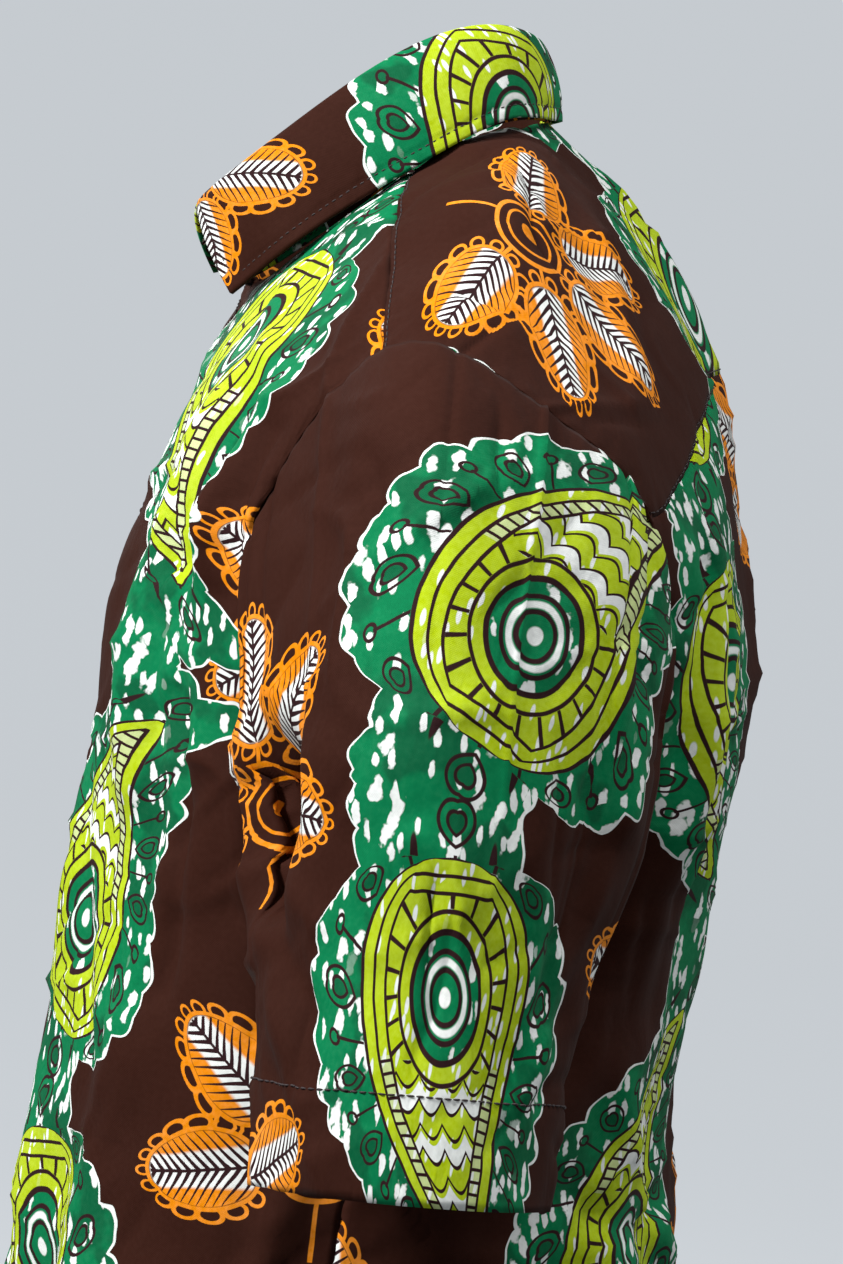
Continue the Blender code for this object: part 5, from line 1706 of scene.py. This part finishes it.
class SHIRT_OT_sleeves(bpy.types.Operator):
    """Builds both set-in sleeves with their deep stitched hems"""

    bl_idname = "shirt.sleeves"
    bl_label = "Sleeves"

    def execute(self, context):
        depth = context.scene.shirt_threads.cuff_hem_depth
        for name, side in (("sleeve_left", 1), ("sleeve_right", -1)):
            grid = sleeve_grid(name, side)
            line = line_beside(*grid[:2], depth - HEM_STEP_WIDTH, from_end=True)
            shown(name, [grid], [threads_on(*line, radius=CUFF_STITCH_RADIUS)])
        return {"FINISHED"}


class SHIRT_OT_collar_stand(bpy.types.Operator):
    """Builds the collar stand"""

    bl_idname = "shirt.collar_stand"
    bl_label = "Collar stand"

    def execute(self, context):
        grid = stand_grid()
        rows = [threads_on(*line_beside(*grid[:2], STITCH_FROM_EDGE))]
        shown("collar_stand", [grid], rows, lined=True)
        return {"FINISHED"}


class SHIRT_OT_collar_leaf(bpy.types.Operator):
    """Builds the folded collar leaf with the stitches inside its free edge"""

    bl_idname = "shirt.collar_leaf"
    bl_label = "Collar leaf"

    def execute(self, context):
        grid = leaf_grid()
        rows, ends = [], FINE_COLLAR
        line, leans = line_beside(*grid[:2], COLLAR_STITCH_IN, from_end=True)
        rows.append(threads_on(line[ends:-ends], leans[ends:-ends]))
        for from_end in (False, True):
            line, leans = line_beside(*grid[:2], COLLAR_STITCH_IN, from_end, axis=1)
            rows.append(threads_on(line[ends:-ends // 2], leans[ends:-ends // 2]))
        shown("collar_leaf", [grid], rows, lined=True)
        return {"FINISHED"}


def grid_mesh(name, points, material):
    """One mesh from rings of points, joined round, with its last ring closed by a face."""
    rings, segments = points.shape[:2]
    number = np.arange(rings * segments).reshape(rings, segments)
    after = np.roll(number, -1, axis=1)
    cells = np.stack((number[:-1], after[:-1], after[1:], number[1:]), axis=-1).reshape(-1, 4)
    return add_mesh(name, points.reshape(-1, 3).tolist(), cells.tolist() + [number[-1].tolist()], material)


class SHIRT_OT_buttons(bpy.types.Operator):
    """Builds the four-holed buttons and their threads, down the front and on the collar stand"""

    bl_idname = "shirt.buttons"
    bl_label = "Buttons"

    def execute(self, context):
        shape, lean, _ = fine_halves()[1]
        pit = fine_row("neck_pit")
        centre, normals = shape[:pit + 1, 0], lean[:pit + 1, 0]
        for number in range(FRONT_BUTTONS):
            z = FIRST_BUTTON_Z - BUTTON_SPACING * number
            point, normal = (
                np.array([np.interp(z, centre[:, 2], a[:, k]) for k in range(3)]) for a in (centre, normals)
            )
            normal = unit(normal)
            self.button(f"button_{number + 1}", point + normal * (CLOTH_WALL / 2 + BUTTON_GAP), normal)
        low, high = neckline(0.0), collar_fold(0.0)
        rise = unit(high - low)
        normal = np.array((0.0, -rise[2], rise[1]))
        lap = np.array((0.0, -STAND_LAP, 0.0))
        point = (low + high) / 2 + normal * (COLLAR_SHOWN_WALL / 2 + BUTTON_GAP) + lap
        self.button("button_collar", point, normal)
        return {"FINISHED"}

    def button(self, name, point, normal):
        """One button that faces along a normal at a point, with two rows of thread over its middle."""
        turn = np.array(Vector(normal).to_track_quat("Z", "Y").to_matrix())
        item = grid_mesh(name + "_shown", button_points()[::-1] @ turn.T + point, button_material())
        up = np.array(((0.0, 0.0, 1.0),) * 2)
        top = BUTTON_THICKNESS - BUTTON_THREAD_DIP
        sizes = (BUTTON_THREAD_SPACING, BUTTON_THREAD_LENGTH, BUTTON_THREAD_RADIUS)
        rows = []
        for x in (-HOLE_OUT, HOLE_OUT):
            line = np.array(((x, -BUTTON_THREAD_LENGTH / 2, top), (x, BUTTON_THREAD_LENGTH / 2, top)))
            rows.append(stitch_points(line, up, *sizes) @ turn.T + point)
        threads = stitching(name + "_threads", rows)
        for piece in (item, threads):
            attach(piece, "root")
        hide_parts(name)


CAMERA_TARGET = Vector((0.0, 0.03, -0.187))
CAMERA_DISTANCE = 1.6
CAMERA_AZIMUTH = math.radians(90)
CAMERA_ELEVATION = math.radians(4)
CAMERA_ROLL = math.radians(8)
CAMERA_LENS = 105.7
CAMERA_SENSOR = 36
CAMERA_REACH = 40
FLOOR_BELOW = 0.60
FLOOR_FLAT = 7.0
FLOOR_SWEEP = 5.0
PAPER_ALBEDO = 0.20
PAPER_GLOW = 0.88
PAPER_SPILL = 0.16
WORLD_COLOUR = (0.86, 0.92, 1.0, 1.0)
WORLD_STRENGTH = 0.12

Lamp = namedtuple("Lamp", "name x y z size power")
LAMPS = (
    Lamp("key", 1.4, -2.3, 1.7, 0.8, 205.0),
    Lamp("fill", 2.8, 0.2, 1.2, 1.6, 18.0),
    Lamp("top", 0.6, 0.8, 2.5, 0.9, 60.0),
    Lamp("far", -2.6, -1.2, 1.0, 2.0, 34.0),
    Lamp("back", -1.2, 2.8, 0.8, 2.0, 24.0),
)


class SHIRT_OT_studio(bpy.types.Operator):
    """Sets the camera, the pale floor with its round sweep, and the soft lights"""

    bl_idname = "shirt.studio"
    bl_label = "Studio"

    def execute(self, context):
        place_camera(context.scene)
        make_backdrop(context.scene)
        for lamp in LAMPS:
            soft_light(context.scene, lamp)
        world = bpy.data.worlds.new("studio")
        context.scene.world = world
        world.use_nodes = True
        background = world.node_tree.nodes["Background"]
        socket_value(background, "Color", WORLD_COLOUR)
        socket_value(background, "Strength", WORLD_STRENGTH)
        context.scene.view_settings.view_transform = "Standard"
        return {"FINISHED"}


def place_camera(scene):
    """The camera looks at the target from the wearer's left, a little from above, turned about its axis."""
    level = math.cos(CAMERA_ELEVATION)
    back = (math.sin(CAMERA_AZIMUTH) * level, -math.cos(CAMERA_AZIMUTH) * level, math.sin(CAMERA_ELEVATION))
    back = Vector(back)
    camera = bpy.data.cameras.new("camera")
    camera.lens = CAMERA_LENS
    camera.sensor_width = CAMERA_SENSOR
    camera.clip_end = CAMERA_REACH
    item = bpy.data.objects.new("camera", camera)
    item.location = CAMERA_TARGET + back * CAMERA_DISTANCE
    turn = back.to_track_quat("Z", "Y").to_matrix() @ Matrix.Rotation(CAMERA_ROLL, 3, "Z")
    item.rotation_euler = turn.to_euler()
    scene.collection.objects.link(item)
    scene.camera = item


def make_backdrop(scene):
    """A flat round floor whose rim curves up into a wall all round: a quarter circle carried round.

    The paper glows to the camera, so that it stays even, and far less towards the cloth.
    """
    bottom = CAD_BOX[0].z - FLOOR_BELOW
    rise = np.linspace(0, math.pi / 2, 25)[1:]
    flat = (0.02, FLOOR_FLAT / 2, FLOOR_FLAT)
    radius = np.concatenate((flat, FLOOR_FLAT + FLOOR_SWEEP * np.sin(rise)))[:, None]
    height = np.concatenate(((0.0, 0.0, 0.0), FLOOR_SWEEP * (1 - np.cos(rise))))[:, None] + bottom
    turn = np.arange(96) / 96 * 2 * math.pi
    points = np.stack((radius * np.cos(turn), radius * np.sin(turn), height + 0 * turn), axis=-1)
    colour = scene.shirt_dyes.floor
    dimmed = [value * PAPER_ALBEDO for value in colour]
    paper = plain_shirt_material("studio_paper", dimmed, 0.9, 0.4, 0.0001)
    shader = paper.node_tree.nodes["Principled BSDF"]
    socket_value(shader, "Emission Color", (*colour, 1.0))
    tree = paper.node_tree
    seen = Field(tree, tree.nodes.new("ShaderNodeLightPath").outputs["Is Camera Ray"])
    put(tree, shader.inputs["Emission Strength"], (seen * (1.0 - PAPER_SPILL) + PAPER_SPILL) * PAPER_GLOW)
    grid_mesh("floor", points[::-1], paper)


def soft_light(scene, lamp):
    """A round area light that faces the camera's target."""
    light = bpy.data.lights.new(lamp.name, "AREA")
    light.shape = "DISK"
    light.size = lamp.size
    light.energy = lamp.power
    item = bpy.data.objects.new(lamp.name, light)
    item.location = Vector((lamp.x, lamp.y, lamp.z))
    item.rotation_euler = (item.location - CAMERA_TARGET).to_track_quat("Z", "Y").to_euler()
    scene.collection.objects.link(item)


class SHIRT_PT_build(bpy.types.Panel):
    """Lists the shirt's pieces, sizes and colours"""

    bl_idname = "SHIRT_PT_build"
    bl_label = "Printed shirt"
    bl_space_type = "VIEW_3D"
    bl_region_type = "UI"
    bl_category = "Shirt"

    def draw(self, context):
        for operator in PIECES:
            self.layout.operator(operator.bl_idname)
        for group in (context.scene.shirt_threads, context.scene.shirt_dyes):
            for name in group.__annotations__:
                self.layout.prop(group, name)


PIECES = (
    SHIRT_OT_fronts,
    SHIRT_OT_back,
    SHIRT_OT_yoke,
    SHIRT_OT_sleeves,
    SHIRT_OT_collar_stand,
    SHIRT_OT_collar_leaf,
    SHIRT_OT_buttons,
    SHIRT_OT_studio,
)
CLASSES = (Threads, Dyes) + PIECES + (SHIRT_PT_build,)


def register():
    for item in CLASSES:
        bpy.utils.register_class(item)
    bpy.types.Scene.shirt_threads = bpy.props.PointerProperty(type=Threads)
    bpy.types.Scene.shirt_dyes = bpy.props.PointerProperty(type=Dyes)


def unregister():
    del bpy.types.Scene.shirt_threads
    del bpy.types.Scene.shirt_dyes
    for item in reversed(CLASSES):
        bpy.utils.unregister_class(item)


def main():
    register()
    bpy.ops.shirt.fronts()
    bpy.ops.shirt.back()
    bpy.ops.shirt.yoke()
    bpy.ops.shirt.sleeves()
    bpy.ops.shirt.collar_stand()
    bpy.ops.shirt.collar_leaf()
    bpy.ops.shirt.buttons()
    bpy.ops.shirt.studio()


if __name__ == "__main__":
    main()
